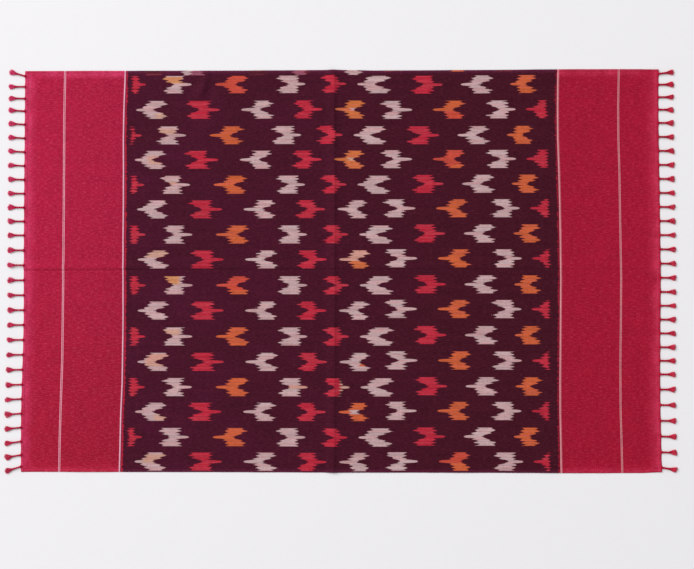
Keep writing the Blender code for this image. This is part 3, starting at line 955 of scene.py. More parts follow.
def motif_table(colours):
    """All motifs as arrays, then for each row the X halfway between its motifs, and its first motif."""
    patched = {patch[:2]: patch[2:] for patch in PATCHES}
    made = {key: [] for key in ("tip", "away", "middle", "dye", "second", "tie", "form", "patch")}
    partings, firsts = [], []
    for number, row_values in enumerate(ROWS):
        row = dict(zip(ROW_COLUMNS, row_values))
        slides = (row["slide_left"] * SEAM_SLIDE_SHARE, row["slide_left"], row["slide_right"])
        drops = (row["drop_left"], row["drop_right"])
        spans = []
        firsts.append(len(made["tip"]))
        for place, motif_values in enumerate(ODD_ROW if number % 2 else EVEN_ROW):
            motif = dict(zip(MOTIF_COLUMNS, motif_values))
            away = {"left": 1, "right": -1}[motif["points"]]
            tip = motif["tip"] + np.interp(motif["tip"], SLIDE_PLACES, slides)
            dye, second, *patch = patched.get((number, place), (motif["dye"], motif["dye"], *NO_PATCH))
            cut = DYE_END - tip if away > 0 else tip - DYE_START
            made["tip"].append(tip)
            made["away"].append(away)
            made["middle"].append(CLOTH_WIDTH / 2 - row["from_back"] - np.interp(tip, DROP_PLACES, drops))
            made["dye"].append(tuple(getattr(colours, dye)))
            made["second"].append(tuple(getattr(colours, second)))
            made["tie"].append((number * ROW_SEED + place * MOTIF_SEED, cut, motif["arm"]))
            made["form"].append((motif["shoulder"], motif["corner"], motif["notch"]))
            made["patch"].append(patch)
            spans.append(sorted((tip, tip + away * motif["arm"])))
        partings.append([(this[1] + following[0]) / 2 for this, following in zip(spans, spans[1:])])
    return {key: np.array(values) for key, values in made.items()}, partings, firsts


def chart_ikat(mesh, nominal, colours):
    """Gives each face the motif whose part of the field it lies in.

    The motif map holds how far a corner lies behind the motif's tip and how far off its middle line.
    """
    motifs, partings, firsts = motif_table(colours)
    middles = nominal.reshape(-1, 4, 2).mean(axis=1)
    row_middles = CLOTH_WIDTH / 2 - column(ROWS, ROW_COLUMNS, "from_back")
    row = np.abs(middles[:, 1:] - row_middles).argmin(axis=1)
    motif = np.zeros(len(middles), dtype=int)
    for number, parting in enumerate(partings):
        inside = row == number
        motif[inside] = firsts[number] + np.searchsorted(parting, middles[inside, 0])
    motif = np.repeat(motif, 4)
    behind = (nominal[:, 0] - motifs["tip"][motif]) * motifs["away"][motif]
    off_middle = nominal[:, 1] - motifs["middle"][motif]
    lay_map(mesh, "motif_map", np.stack([behind, off_middle], axis=-1))
    for name in ("dye", "second", "tie", "form", "patch"):
        lay_attribute(mesh, name, motifs[name][motif])


class Value:
    """A shader socket that Python's own operators work on."""

    def __init__(self, paint, socket):
        self.paint = paint
        self.socket = socket

    def __add__(self, other):
        return self.paint.math("ADD", self, other)

    def __radd__(self, other):
        return self.paint.math("ADD", other, self)

    def __sub__(self, other):
        return self.paint.math("SUBTRACT", self, other)

    def __rsub__(self, other):
        return self.paint.math("SUBTRACT", other, self)

    def __mul__(self, other):
        return self.paint.math("MULTIPLY", self, other)

    def __rmul__(self, other):
        return self.paint.math("MULTIPLY", other, self)

    def __truediv__(self, other):
        return self.paint.math("DIVIDE", self, other)

    def __rtruediv__(self, other):
        return self.paint.math("DIVIDE", other, self)

    def __abs__(self):
        return self.paint.math("ABSOLUTE", self)

    def floor(self):
        return self.paint.math("FLOOR", self)

    def sine(self):
        return self.paint.math("SINE", self)

    def smaller(self, other):
        return self.paint.math("MINIMUM", self, other)

    def larger(self, other):
        return self.paint.math("MAXIMUM", self, other)

    def held(self):
        """The value, no less than 0 and no more than 1."""
        return self.paint.add("Clamp", {}, {"Value": self})

    def step(self, width):
        """0 below 0 and 1 above it, with a straight slope of this width between."""
        return (self / width + 0.5).held()


class Paint:
    """A material, its Principled shader and the nodes that feed it."""

    # The numbers of the Mix node's sockets for colours
    MIX_FACTOR = 0
    MIX_FIRST = 6
    MIX_SECOND = 7
    MIX_RESULT = 2

    def __init__(self, name, **constants):
        self.material = bpy.data.materials.new(name)
        self.material.use_nodes = True
        self.tree = self.material.node_tree
        self.shader = self.tree.nodes["Principled BSDF"]
        for socket, value in constants.items():
            self.feed(self.shader.inputs[socket.replace("_", " ")], value)

    def feed(self, socket, value):
        """Links a value to a socket, or sets the socket to a number or a colour."""
        if isinstance(value, Value):
            self.tree.links.new(value.socket, socket)
        elif socket.type == "RGBA":
            socket.default_value = (*value, 1.0)
        else:
            socket.default_value = value

    def add(self, kind, settings, sockets, output=0):
        """Adds a node of a kind: its settings are made first, then its sockets get their values or links."""
        node = self.tree.nodes.new(f"ShaderNode{kind}")
        for name, setting in settings.items():
            setattr(node, name, setting)
        for name, value in sockets.items():
            self.feed(node.inputs[name], value)
        return Value(self, node.outputs[output])

    def math(self, operation, *values):
        return self.add("Math", {"operation": operation}, dict(enumerate(values)))

    def mix(self, first, second, factor):
        """A colour from first to second."""
        sockets = {self.MIX_FACTOR: factor, self.MIX_FIRST: first, self.MIX_SECOND: second}
        return self.add("Mix", {"data_type": "RGBA"}, sockets, self.MIX_RESULT)

    def scaled(self, colour, factor):
        """A colour times a value."""
        return self.add("VectorMath", {"operation": "SCALE"}, {0: colour, "Scale": factor})

    def parts(self, vector):
        """The three values of a vector or a colour."""
        split = self.tree.nodes.new("ShaderNodeSeparateXYZ")
        self.feed(split.inputs[0], vector)
        return tuple(Value(self, output) for output in split.outputs)

    def joined(self, x, y, z=0.0):
        return self.add("CombineXYZ", {}, {"X": x, "Y": y, "Z": z})

    def map(self, name):
        """The two values of a UV map."""
        return self.parts(self.add("UVMap", {"uv_map": name}, {}))[:2]

    def attribute(self, name):
        return self.add("Attribute", {"attribute_name": name}, {}, "Vector")

    def chance(self, *values):
        """A random value from 0 to 1, the same wherever the given values are the same."""
        sockets = {"Vector": self.joined(*values)}
        return self.add("TexWhiteNoise", {"noise_dimensions": "3D"}, sockets, "Value")

    def cloud(self, x, y, sizes, detail):
        """Soft noise from 0 to 1, with patches of the given sizes along X and Y."""
        sockets = {"Vector": self.joined(x / sizes[0], y / sizes[1]), "Scale": 1.0, "Detail": detail}
        return self.add("TexNoise", {"noise_dimensions": "2D"}, sockets)

    def finish(self, colour, height, distance):
        """Feeds the shader its colour and its bump, whose height of 1 stands for the distance in metres."""
        bump = self.add("Bump", {}, {"Height": height, "Strength": 1.0, "Distance": distance})
        self.feed(self.shader.inputs["Normal"], bump)
        self.feed(self.shader.inputs["Base Color"], colour)
        return self.material


# Matt cotton that keeps a faint red sheen
SOFT_SHEEN = {
    "Sheen_Weight": 0.04,
    "Sheen_Roughness": 0.5,
    "Sheen_Tint": (1.0, 0.5, 0.6),
    "Specular_Tint": (1.0, 0.5, 0.6),
}


def plain_weave(x, y, pitch):
    """Height of a plain weave from 0 to 1.

    Each thread is half of a sine across its own width. It goes over and under the threads that cross it,
    and two threads side by side do so in turn.
    """
    along = x / pitch
    across = y / pitch
    warp = abs((across * math.pi).sine())
    weft = abs((along * math.pi).sine())
    warp_over = ((along + across.floor()) * math.pi).sine() * 0.5 + 0.5
    weft_over = ((across + along.floor()) * math.pi).sine() * 0.5 + 0.5
    return (warp * warp_over).larger(weft * weft_over)


def handloom(paint, x, y, pitch):
    """Uneven threads of a handloom cloth: its shade about 1, its height for the bump, and its slubs."""
    weave_height = plain_weave(x, y, pitch)
    warp_streaks = paint.cloud(x, y, WARP_STREAK, FINE_DETAIL)
    weft_streaks = paint.cloud(x, y, WEFT_STREAK, FINE_DETAIL)
    warp_slubs = paint.cloud(x, y, WARP_SLUB, FINE_DETAIL)
    weft_slubs = paint.cloud(x, y, WEFT_SLUB, FINE_DETAIL)
    slubs = 0.5 + (warp_slubs - 0.5) * WARP_SLUB_SHARE + (weft_slubs - 0.5) * WEFT_SLUB_SHARE
    patches = paint.cloud(x, y, SHADE_PATCH, SOFT_DETAIL)
    least, of_streaks, of_slubs, of_patches, weave_hollow_shade = SHADE_SHARES
    shade = least + warp_streaks * of_streaks + weft_streaks * of_streaks + slubs * of_slubs
    # The weave's share is painted shade, darker in the hollows between its threads
    shade = shade + patches * of_patches + weave_height * weave_hollow_shade
    streaks_up, slubs_up, weave_up = HEIGHT_SHARES
    height = weave_height * weave_up + slubs * slubs_up
    return shade, height + warp_streaks * streaks_up + weft_streaks * streaks_up, slubs


def slip(paint, place, seed, use, amount):
    """A slip along the threads, up to half of the amount either way, one for each bundle or thread."""
    return (paint.chance(place.floor(), seed, CHANCE_OF[use]) - 0.5) * amount


def motif_cover(paint, cloth, behind, off_middle, seed):
    """Where the motifs' dye and its second part are, from 0 to 1.

    A motif is dyed between two lines along its own tied threads, its head and its tail. The head is the
    smaller of the cube of the distance off the middle times a slope, and of a straight line from
    shoulder to corner. The tail is a straight line from notch to arm, turned in at its end. Bundles,
    strands and threads slip along both.
    """
    _, cut, arm = paint.parts(paint.attribute("tie"))
    shoulder, corner, notch = paint.parts(paint.attribute("form"))
    away = abs(off_middle)
    past_shoulder = (away - SHOULDER_OFF_MIDDLE) / (CORNER_OFF_MIDDLE - SHOULDER_OFF_MIDDLE)
    head = (away * away * away * SPIKE_SLOPE).smaller(shoulder + (corner - shoulder) * past_shoulder)
    tail = notch + (arm - notch) * (away / ARM_OFF_MIDDLE).held()
    tail = tail - (away - ARM_END).larger(0.0) * ARM_END_SLOPE

    bundle = (off_middle + slip(paint, seed, 0.5, "bundle_shift", FEATHER_SHIFT)) / FEATHER_PITCH + 0.5
    feather = (abs(bundle - bundle.floor() - 0.5) * 2 - 0.5) * cloth.feather_length
    slips = {"head": feather, "tail": 0.0 - feather * (away / FEATHER_PITCH).held()}
    for end in slips:
        for part, place, amount in (
            ("bundle", bundle, cloth.bundle_slip),
            ("strand", off_middle / STRAND_PITCH, cloth.thread_slip),
            ("thread", off_middle / cloth.thread_pitch, cloth.thread_slip * 0.5),
        ):
            slips[end] = slips[end] + slip(paint, place, seed, f"{end}_{part}", amount)

    slip_start, slip_end = SLIP_FROM_TIP
    past_tip = ((behind - slip_start) / (slip_end - slip_start)).held()
    inside_head = behind - head - slips["head"] * past_tip
    inside_tail = tail + slips["tail"] - behind
    inside_cut = cut + slips["tail"] * CUT_SLIP_SHARE - behind
    inside = inside_head.smaller(inside_tail).smaller(inside_cut)
    dyed = inside.step(DYE_EDGE) * (MOTIF_HALF_HEIGHT - away).step(MOTIF_SIDE_EDGE)

    patch_from, patch_to, patch_start = paint.parts(paint.attribute("patch"))
    in_patch = (off_middle - patch_from).smaller(patch_to - off_middle).step(PATCH_SIDE_EDGE)
    past_start = (behind + slips["head"] - patch_start) / PATCH_START_EDGE
    return dyed, in_patch * past_start.held()


def field_ground(paint, x, y, colours):
    """Maroon with plum clouds, streaked along the warp, and paler along the turned edges by painted sheen.
    """
    plum = (paint.cloud(x, y, PLUM_PATCH, SOFT_DETAIL) * PLUM_GAIN - PLUM_LEAST).held()
    ground = paint.mix(colours.maroon, colours.plum, plum * PLUM_COVER)
    # Painted light falloff: the ground turns to its darker, less blue right-hand tone
    ground = paint.mix(ground, colours.maroon_right, (x - MAROON_TURN_START).held())
    # Painted sheen: the ground turns paler along the turned hems
    near_front = edge_light(y + CLOTH_WIDTH / 2, *FIELD_FRONT_SHEEN)
    near_hem = near_front.larger(edge_light(CLOTH_WIDTH / 2 - y, *FIELD_BACK_SHEEN))
    ground = paint.mix(ground, colours.hem_sheen, near_hem * HEM_SHEEN_COVER)
    streaks = paint.cloud(x, y, GROUND_STREAK, FINE_DETAIL)
    # Painted light falloff: the ground darkens towards the right
    light_fall = FIELD_SHADE - x * FIELD_SHADE_FALL
    return paint.scaled(ground, light_fall * (STREAK_LEAST + streaks * STREAK_SHARE))


def seam_lines(paint, x, y, cloth, colour, colours):
    """The jagged red line and the fine dark one beside each seam."""
    jag = slip(paint, y / JAG_PITCH, 0.0, "jag", JAG)
    jag = jag + slip(paint, y / cloth.thread_pitch, 0.0, "fine_jag", FINE_JAG)
    from_left = x - CROSS_LINES["left_seam"]
    from_right = CROSS_LINES["right_seam"] - x
    beside_seam = (RED_LINE["left"][0] - from_left).larger(RED_LINE["right"][0] - from_right)
    in_line = (RED_LINE["left"][1] - from_left + jag).larger(RED_LINE["right"][1] - from_right + jag)
    colour = paint.mix(colour, colours.red, in_line.step(RED_LINE_EDGE) * RED_LINE_COVER)
    return paint.mix(colour, colours.wine, beside_seam.step(THREAD_EDGE))


def paint_ikat(cloth, colours):
    """Maroon cotton with feathered motifs in one or two dyes, and a red line at each seam."""
    paint = Paint("maroon_ikat_cotton", **SOFT_SHEEN, Roughness=0.85, Specular_IOR_Level=0.14)
    x, y = paint.map("cloth_map")
    behind, off_middle = paint.map("motif_map")
    seed = paint.parts(paint.attribute("tie"))[0]
    shade, height, slubs = handloom(paint, x, y, cloth.thread_pitch)
    dyed, second = motif_cover(paint, cloth, behind, off_middle, seed)

    strand = (off_middle / STRAND_PITCH).floor()
    thread = (off_middle / cloth.thread_pitch).floor()
    of_thread = paint.chance(thread, seed, CHANCE_OF["thread_shade"]) * THREAD_SHADE_SHARE
    of_strand = paint.chance(strand, seed, CHANCE_OF["strand_shade"]) * STRAND_SHADE_SHARE
    blush_cloud = paint.cloud(x, y, BLUSH_PATCH, SOFT_DETAIL)
    blush = paint.chance(strand, seed, CHANCE_OF["blush"]) * blush_cloud * BLUSH_COVER
    dye = paint.mix(paint.attribute("dye"), paint.attribute("second"), second)
    motif = paint.scaled(paint.mix(dye, colours.blush, blush), DYE_SHADE_LEAST + of_thread + of_strand)
    colour = paint.mix(field_ground(paint, x, y, colours), motif, dyed * DYE_COVER)
    colour = paint.mix(colour, colours.bloom, ((slubs - BLOOM_START) * BLOOM_COVER).held())
    colour = seam_lines(paint, x, y, cloth, colour, colours)
    shade = 1.0 + (shade - 1.0) * (GROUND_CONTRAST + dyed * (1 - GROUND_CONTRAST))
    return paint.finish(paint.scaled(colour, shade), height, WEAVE_DEPTH)


def edge_light(from_edge, reach, strength):
    """How far painted edge light shows: its strength at the edge, at most 1, falls straight to 0 at its
    reach.
    """
    return ((reach - from_edge) / reach * strength).held()


def end_ground(paint, side, x, y, colours):
    """Crimson with painted light falloff from back to front and inwards, and painted pinker sheen along the
    free edges.
    """
    back, front, sheen = (getattr(colours, f"{side}_{part}") for part in ("back", "front", "sheen"))
    from_end = CLOTH_LENGTH / 2 - x * SIGN[side]
    from_front = y + CLOTH_WIDTH / 2
    from_back = CLOTH_WIDTH / 2 - y
    first, light_fall = END_LIGHT_FALL[side]
    # Painted light falloff: darker from back to front and inwards from the end; painted light brightens the
    # front edge
    colour = paint.mix(back, front, (FRONT_SHADE_SHARE - y * FRONT_SHADE_SLOPE).held())
    colour = paint.scaled(colour, first - from_end * light_fall + edge_light(from_front, *FRONT_EDGE_LIGHT))

    # Painted sheen: pinker along the end and the back edge, in uneven patches
    uneven = (paint.cloud(x, y, SHEEN_PATCH, FINE_DETAIL) * SHEEN_GAIN - SHEEN_LEAST).larger(SHEEN_LEAST)
    share, share_slope = END_SHEEN_SHARE[side]
    near_end = edge_light(from_end, *END_SHEEN)
    near_end = near_end * near_end * (share + y * share_slope)
    inwards = (BACK_SHEEN_END_SHARE + from_end / BACK_SHEEN_GROWTH).held()
    near_back = edge_light(from_back, *BACK_SHEEN) * inwards * BACK_SHEEN_WEIGHT[side]
    colour = paint.mix(colour, sheen, (near_end.larger(near_back) * uneven).held())
    # Painted sheen along the front edge
    near_front = edge_light(from_front, *FRONT_SHEEN) * FRONT_SHEEN_COVER
    colour = paint.mix(colour, colours.right_sheen, near_front * uneven)
    # Painted shade: the outermost rim of the end and of the front edge takes the darker front crimson
    end_rim_shade = (RIM_SHADE_WIDTH - from_end).step(RIM_SHADE_EDGE) * RIM_SHADE_COVER[side]
    front_rim_shade = (RIM_SHADE_WIDTH - from_front).step(RIM_SHADE_EDGE) * FRONT_RIM_SHADE_COVER
    return paint.mix(colour, front, end_rim_shade.larger(front_rim_shade))


def end_stripes(paint, side, x, colour, colours):
    """The inner cream stripe with a dark line at the seam, and the outer one with a greyer core."""
    cream = getattr(colours, f"{side}_stripe")
    from_seam = (x - CROSS_LINES[f"{side}_seam"]) * SIGN[side]
    off_stripe = abs(x - CROSS_LINES[f"{side}_stripe"])
    seam_line, inner_stripe = INNER_STRIPE[side]
    for dye, end, cover in (
        (cream, INNER_STRIPE_FADE[side], FADE_COVER),
        (cream, inner_stripe, INNER_STRIPE_COVER[side]),
        (colours.wine, seam_line, 1.0),
    ):
        colour = paint.mix(colour, dye, (end - from_seam).step(THREAD_EDGE) * cover)
    stripe = paint.mix(cream, colours.stripe_core, (STRIPE_CORE_HALF_WIDTH - off_stripe).step(THREAD_EDGE))
    return paint.mix(colour, stripe, (STRIPE_HALF_WIDTH[side] - off_stripe).step(THREAD_EDGE) * STRIPE_COVER)


def paint_end_cloth(side, cloth, colours):
    """Crimson cotton with two cream stripes, and a painted pinker sheen along its free edges."""
    paint = Paint(f"crimson_cotton_{side}", **SOFT_SHEEN, Roughness=0.78, Specular_IOR_Level=0.18)
    x, y = paint.map("cloth_map")
    shade, height, slubs = handloom(paint, x, y, cloth.thread_pitch)
    colour = end_stripes(paint, side, x, end_ground(paint, side, x, y, colours), colours)
    fluff = ((slubs - FLUFF_START) * FLUFF_COVER[side]).held()
    colour = paint.mix(paint.scaled(colour, shade), colours.fluff, fluff)
    return paint.finish(colour, height, WEAVE_DEPTH)


def paint_thread(name, colour):
    """Sewing thread, shaded along its twist."""
    paint = Paint(name, Roughness=0.6, Sheen_Weight=0.1, Specular_IOR_Level=0.4)
    along, number = paint.map("strand_map")
    twist = (along * THREAD_TWIST + number).sine() * 0.5 + 0.5
    shade = THREAD_SHADE_LEAST + twist * THREAD_TWIST_SHARE
    return paint.finish(paint.scaled(colour, shade), twist, THREAD_DEPTH)


def paint_yarn(side, tassels, colours):
    """Crimson yarn: dark in the twisted cord, lighter and pinker towards the cut end of the brush."""
    paint = Paint(f"crimson_yarn_{side}", **SOFT_SHEEN, Roughness=0.75, Specular_IOR_Level=0.2)
    along, number = paint.map("strand_map")
    cord, back, front = (getattr(colours, f"{side}_{part}") for part in ("cord", "brush", "brush_front"))
    brush = paint.mix(back, front, (number / (TASSELS * tassels.yarns)).held())
    colour = paint.mix(cord, brush, ((along - 1.0) * BRUSH_FADE).held())
    lot = paint.chance(number.floor(), 1.0, 0.0)
    # Painted shade: the twist darkens the yarn in its grooves, where its bump is low
    twist = (along * YARN_TWIST + number).sine() * 0.5 + 0.5
    shade = YARN_SHADE_LEAST + lot * YARN_SHADE_SHARE + twist * YARN_TWIST_SHARE
    return paint.finish(paint.scaled(colour, shade), twist, YARN_DEPTH)


def hem_thread(start, end, fixed, runs_along_x, cloth):
    """Running stitches on one hem, as paths.

    Each lies on the cloth in a low arc, and dips into it as a power of the share of its half length.
    """
    count = int((end - start) / STITCH_PITCH)
    middles = start + STITCH_PITCH * (np.arange(count) + 0.5)
    arc = np.linspace(-1, 1, STITCH_STATIONS)
    moving = middles[:, None] + arc * STITCH_HALF_LENGTH
    still = np.full_like(moving, fixed)
    x, y = (moving, still) if runs_along_x else (still, moving)
    real_x, real_y, _, top = cloth_form(x.ravel(), y.ravel(), cloth)
    rise = STITCH_RADIUS - STITCH_DIP * np.abs(arc) ** STITCH_DIP_POWER
    height = top.reshape(moving.shape) + rise
    return np.stack([real_x.reshape(moving.shape), real_y.reshape(moving.shape), height], axis=-1)


def strand_values(shape, along, number):
    """The strand map's two values for each point of tubes: its place along its strand, and its number."""
    tubes_count, stations, sides = shape
    along = np.broadcast_to(np.reshape(along, (-1, stations)), (tubes_count, stations))
    number = np.broadcast_to(np.reshape(number, (tubes_count, 1)), (tubes_count, stations))
    return np.repeat(np.stack([along, number], axis=-1).reshape(-1, 2), sides, axis=0)


def join_tubes(groups):
    """Points, faces and strand map of several groups of tubes as one mesh."""
    points, faces, values, offset = [], [], [], 0
    for group_points, group_faces, group_values in groups:
        points.append(group_points)
        values.append(group_values)
        faces += [[corner + offset for corner in face] for face in group_faces]
        offset += len(group_points)
    return np.concatenate(points), faces, np.concatenate(values)


class TasselFrames:
    """Where each tassel of one end is rooted, and the two directions that it lies along."""

    def __init__(self, side):
        nominal_y, lean = tassel_places(side)
        nominal_x = np.full(TASSELS, SIGN[side] * CLOTH_LENGTH / 2)
        real_x, real_y = plan(nominal_x, nominal_y)
        self.root = np.stack([real_x, real_y, folds(nominal_x, nominal_y)], axis=-1)
        self.outward = np.stack([SIGN[side] * np.cos(lean), np.sin(lean), np.zeros(TASSELS)], axis=-1)
        self.across = np.cross(self.outward, (0, 0, 1))

    def place(self, out, sideways, up):
        """World points from arrays of (tassel, strand, station)."""
        placed = self.root[:, None, None] + out[..., None] * self.outward[:, None, None]
        placed = placed + sideways[..., None] * self.across[:, None, None]
        placed[..., 2] += up
        return placed.reshape(-1, out.shape[-1], 3)


def twisted_cords(frames, side, tassels):
    """Two plies round each cord's axis, half a turn apart, their radius just over half of the cord's."""
    share = np.linspace(0, 1, CORD_STATIONS)
    out = CORD_START + (NECK_OUT[side] - CORD_START) * share
    radius = read_table(CORD_PROFILE, CORD_COLUMNS, "radius", share) * CORD_THICKNESS[side]
    axis_height = read_table(CORD_PROFILE, CORD_COLUMNS, "axis_height", share)
    first_turn = np.arange(TASSELS)[:, None] * CORD_TURN + np.array((0, math.pi))
    turns = math.tau * out / tassels.twist_pitch + first_turn[..., None]
    sideways = np.cos(turns) * radius * PLY_SIDEWAYS
    up = axis_height + np.sin(turns) * radius * PLY_UP
    paths = frames.place(np.broadcast_to(out, turns.shape), sideways, up)
    radii = np.broadcast_to(radius * PLY_RADIUS, paths.shape[:2])
    points, faces = tubes(paths, radii, CORD_SIDES)
    shape = (len(paths), CORD_STATIONS, CORD_SIDES)
    return points, faces, strand_values(shape, share * CORD_MAP_END, np.arange(len(paths)))


def knots(frames, side):
    """A knot at each neck: a half-round barrel, times one plus a cosine of the turn that winds along it."""
    share = np.linspace(-1, 1, KNOT_STATIONS)
    out = NECK_OUT[side] + share * KNOT_HALF_LENGTH
    barrel = KNOT_RADIUS * (KNOT_END + (1 - KNOT_END) * np.sqrt(1 - share**2))
    turn = math.tau * np.arange(KNOT_SIDES) / KNOT_SIDES
    ridges = 1 + KNOT_RIDGE * np.cos(KNOT_RIDGES * turn[None, :] + KNOT_WINDING * share[:, None])
    shape = (TASSELS, 1, KNOT_STATIONS)
    paths = frames.place(np.broadcast_to(out, shape), np.zeros(shape), np.full(shape, NECK_HEIGHT))
    radii = np.broadcast_to(barrel[:, None] * ridges, (TASSELS, KNOT_STATIONS, KNOT_SIDES))
    points, faces = tubes(paths, radii, KNOT_SIDES)
    along = CORD_MAP_END + KNOT_MAP_HALF * share
    values = strand_values((TASSELS, KNOT_STATIONS, KNOT_SIDES), along, np.arange(TASSELS) + FIRST_KNOT)
    return points, faces, values


def brushes(frames, side, tassels):
    """The cut yarns of each tassel, which leave the knot in a round bunch and fan out flat, a little curly.

    A yarn's place across the brush grows as a power of a sine of the share of its length, and it sinks
    from the neck's height to its own end height as a power of that share.
    """
    chance = np.random.default_rng(YARN_SEED[side])
    shape = (TASSELS, tassels.yarns)
    fan = np.linspace(-1, 1, tassels.yarns) + chance.normal(0, FAN_CHANCE, shape)
    level = chance.uniform(-1, 1, shape) * np.sqrt(np.clip(1 - FAN_FLATNESS * fan**2, FAN_LEAST, 1))
    slant = BRUSH_END_SLANT * np.sin(SLANT_TURN * np.arange(TASSELS))[:, None]
    tip = TIP_OUT[side] - BRUSH_ROUNDING[side] * np.abs(fan) + slant * fan
    tip = tip + chance.normal(0, TIP_CHANCE, shape)
    spread = tassels.brush_half_width * chance.normal(1, WIDTH_CHANCE, (TASSELS, 1))
    share = np.linspace(0, 1, BRUSH_STATIONS)
    out = NECK_OUT[side] + (tip - NECK_OUT[side])[..., None] * share
    flare = np.sin(np.minimum(share / BRUSH_WIDEST_SHARE[side], 1) * math.pi / 2) ** BRUSH_FLARE[side]
    sideways = fan[..., None] * spread[..., None] * (BRUSH_NECK_SHARE + (1 - BRUSH_NECK_SHARE) * flare)
    phase = chance.uniform(0, math.tau, shape)[..., None]
    sideways = sideways + CURL_SIDEWAYS * share * np.sin(CURL_SIDEWAYS_TURN * share + phase)
    low_end = (BRUSH_END_HEIGHT + level * BRUSH_END_HALF_HEIGHT)[..., None]
    up = NECK_HEIGHT + level[..., None] * BRUSH_NECK_HALF_HEIGHT * (1 - share)
    up = up + (low_end - NECK_HEIGHT) * share**BRUSH_SINK_POWER
    up = up + CURL_UP * share * np.sin(CURL_UP_TURN * share + phase)
    paths = frames.place(out, sideways, up)
    radius = tassels.yarn_radius * np.interp(share, YARN_TAPER_PLACES, YARN_TAPER)
    points, faces = tubes(paths, np.broadcast_to(radius, paths.shape[:2]), YARN_SIDES)
    values = strand_values((len(paths), BRUSH_STATIONS, YARN_SIDES), 1 + share, np.arange(len(paths)))
    return points, faces, values


class WeaveField(bpy.types.Operator):
    """Weaves the maroon ikat field between the two seams"""

    bl_idname = "dupatta.weave_field"
    bl_label = "Weave the field"

    def execute(self, context):
        cloth = context.scene.dupatta_cloth
        colours = context.scene.dupatta_colours
        material = paint_ikat(cloth, colours)
        start, end = CROSS_LINES["left_seam"], CROSS_LINES["right_seam"]
        across = stations_across(cloth)
        piece, nominal = weave("ikat_field", start, end, across, cloth, material)
        chart_ikat(piece.data, nominal, colours)
        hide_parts("field")
        return {"FINISHED"}


class WeaveEndPanels(bpy.types.Operator):
    """Weaves the crimson end panels out to the turned end edges"""

    bl_idname = "dupatta.weave_end_panels"
    bl_label = "Weave the end panels"

    def execute(self, context):
        cloth = context.scene.dupatta_cloth
        colours = context.scene.dupatta_colours
        for side, first, last in (("left", "left_edge", "left_seam"), ("right", "right_seam", "right_edge")):
            start, end = CROSS_LINES[first], CROSS_LINES[last]
            material = paint_end_cloth(side, cloth, colours)
            roots, _ = tassel_places(side)
            across = stations_across(cloth, roots)
            piece, _ = weave(f"end_cloth_{side}", start, end, across, cloth, material)
            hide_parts(f"end_panel_{side}")
        return {"FINISHED"}


class SewHems(bpy.types.Operator):
    """Sews a line of running stitches along every turned hem"""

    bl_idname = "dupatta.sew_hems"
    bl_label = "Sew the hems"

    def execute(self, context):
        cloth = context.scene.dupatta_cloth
        colours = context.scene.dupatta_colours
        side_line = CLOTH_WIDTH / 2 - cloth.hem_width + STITCHES_FROM_STEP
        end_line = CLOTH_LENGTH / 2 - cloth.end_hem_width + STITCHES_FROM_STEP
        stretches = (
            ("end_cloth_left", -end_line, CROSS_LINES["left_seam"], -end_line, colours.left_front),
            ("ikat_field", CROSS_LINES["left_seam"], CROSS_LINES["right_seam"], None, colours.maroon),
            ("end_cloth_right", CROSS_LINES["right_seam"], end_line, end_line, colours.right_front),
        )
        for sheet, start, end, end_hem, colour in stretches:
            runs = [hem_thread(start, end, line, True, cloth) for line in (-side_line, side_line)]
            if end_hem is not None:
                runs.append(hem_thread(-side_line, side_line, end_hem, False, cloth))
            paths = np.concatenate(runs)
            radii = np.full(paths.shape[:2], STITCH_RADIUS)
            points, faces = tubes(paths, radii, STITCH_SIDES)
            material = paint_thread(f"sewing_thread_{sheet}", colour)
            piece = add_piece(f"hem_stitches_{sheet}", points, faces, material)
            along = np.linspace(0, 1, STITCH_STATIONS)
            values = strand_values((*paths.shape[:2], STITCH_SIDES), along, np.arange(len(paths)))
            lay_map(piece.data, "strand_map", values[corner_points(piece.data)])
            piece.parent = bpy.data.objects[sheet]
        return {"FINISHED"}


class KnotTassels(bpy.types.Operator):
    """Twists, knots and cuts the tassels along both ends"""

    bl_idname = "dupatta.knot_tassels"
    bl_label = "Knot the tassels"

    def execute(self, context):
        colours = context.scene.dupatta_colours
        tassels = context.scene.dupatta_tassels
        for side in SIGN:
            frames = TasselFrames(side)
            groups = (
                twisted_cords(frames, side, tassels),
                knots(frames, side),
                brushes(frames, side, tassels),
            )
            points, faces, values = join_tubes(groups)
            material = paint_yarn(side, tassels, colours)
            piece = add_piece(f"tassel_row_{side}", points, faces, material)
            lay_map(piece.data, "strand_map", values[corner_points(piece.data)])
            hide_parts(f"tassels_{side}")
            piece.parent = bpy.data.objects[f"end_cloth_{side}"]
        return {"FINISHED"}


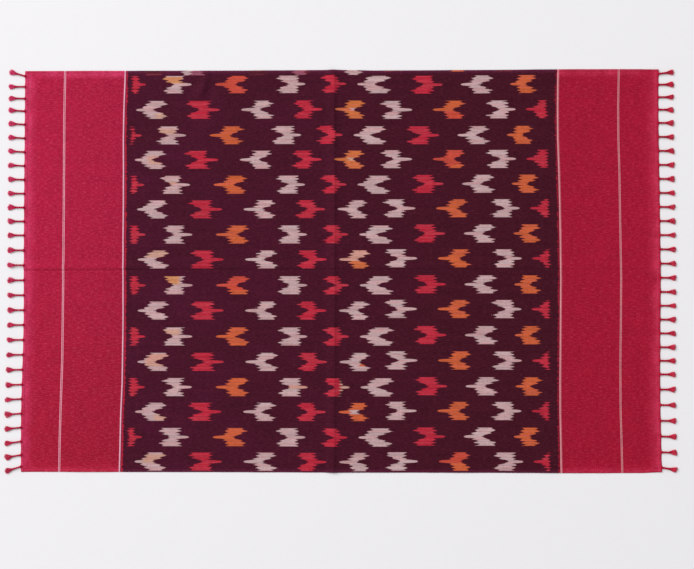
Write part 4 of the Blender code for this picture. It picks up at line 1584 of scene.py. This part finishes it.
class SetStage(bpy.types.Operator):
    """Lays the pale floor and sets the soft light and the camera"""

    bl_idname = "dupatta.set_stage"
    bl_label = "Set the stage"

    def execute(self, context):
        scene = context.scene
        stage = scene.dupatta_stage
        scene.view_settings.view_transform = "Standard"
        mesh = bpy.data.meshes.new("floor")
        corners = [(x * FLOOR_HALF, y * FLOOR_HALF, 0.0) for x, y in ((-1, -1), (1, -1), (1, 1), (-1, 1))]
        mesh.from_pydata(corners, [], [(0, 1, 2, 3)])
        floor = bpy.data.objects.new("floor", mesh)
        scene.collection.objects.link(floor)
        paint = Paint("pale_floor", Roughness=0.9, Specular_IOR_Level=0.1)
        place = paint.add("TexCoord", {}, {}, "Object")
        settings = {"Vector": place, "Scale": FLOOR_GRAIN_SCALE, "Detail": FLOOR_GRAIN_DETAIL}
        grain = paint.add("TexNoise", {}, settings)
        shade = grain * FLOOR_GRAIN_SHARE + (1 - FLOOR_GRAIN_SHARE / 2)
        colour = paint.scaled(scene.dupatta_colours.floor, shade)
        mesh.materials.append(paint.finish(colour, grain, FLOOR_GRAIN_DEPTH))

        world = bpy.data.worlds.new("studio")
        scene.world = world
        world.use_nodes = True
        background = world.node_tree.nodes["Background"]
        background.inputs["Color"].default_value = (*SKY_COLOUR, 1.0)
        background.inputs["Strength"].default_value = stage.sky_strength

        light = bpy.data.lights.new("window", "AREA")
        light.shape = "DISK"
        light.size = WINDOW_SIZE
        light.energy = stage.window_power
        light.color = WINDOW_COLOUR
        window = bpy.data.objects.new("window", light)
        window.location = WINDOW_PLACE
        window.rotation_euler = (-Vector(WINDOW_PLACE)).to_track_quat("-Z", "Y").to_euler()
        scene.collection.objects.link(window)

        lens = bpy.data.cameras.new("camera")
        lens.sensor_width = SENSOR_WIDTH
        lens.lens = SENSOR_WIDTH * stage.camera_distance / VIEW_WIDTH
        camera = bpy.data.objects.new("camera", lens)
        lean = stage.camera_elevation
        back = Vector((0.0, -math.cos(lean), math.sin(lean)))
        camera.location = Vector(VIEW_CENTRE) + back * stage.camera_distance
        camera.rotation_euler = (-back).to_track_quat("-Z", "Y").to_euler()
        scene.collection.objects.link(camera)
        scene.camera = camera
        return {"FINISHED"}


GROUPS = (
    ("dupatta_cloth", DupattaCloth),
    ("dupatta_colours", DupattaColours),
    ("dupatta_tassels", DupattaTassels),
    ("dupatta_stage", DupattaStage),
)
OPERATORS = (SetStage, WeaveField, WeaveEndPanels, SewHems, KnotTassels)


class DupattaPanel(bpy.types.Panel):
    """Lists the dupatta's sizes, colours and steps"""

    bl_idname = "VIEW3D_PT_dupatta"
    bl_label = "Dupatta"
    bl_space_type = "VIEW_3D"
    bl_region_type = "UI"
    bl_category = "Dupatta"

    def draw(self, context):
        for name, group in GROUPS:
            box = self.layout.box()
            for value in group.__annotations__:
                box.prop(getattr(context.scene, name), value)
        for operator in OPERATORS:
            self.layout.operator(operator.bl_idname)


def register():
    for name, group in GROUPS:
        bpy.utils.register_class(group)
        setattr(bpy.types.Scene, name, bpy.props.PointerProperty(type=group))
    for operator in OPERATORS:
        bpy.utils.register_class(operator)
    bpy.utils.register_class(DupattaPanel)


def unregister():
    bpy.utils.unregister_class(DupattaPanel)
    for operator in reversed(OPERATORS):
        bpy.utils.unregister_class(operator)
    for name, group in reversed(GROUPS):
        delattr(bpy.types.Scene, name)
        bpy.utils.unregister_class(group)


def main():
    register()
    bpy.ops.dupatta.set_stage()
    bpy.ops.dupatta.weave_field()
    bpy.ops.dupatta.weave_end_panels()
    bpy.ops.dupatta.sew_hems()
    bpy.ops.dupatta.knot_tassels()


if __name__ == "__main__":
    main()
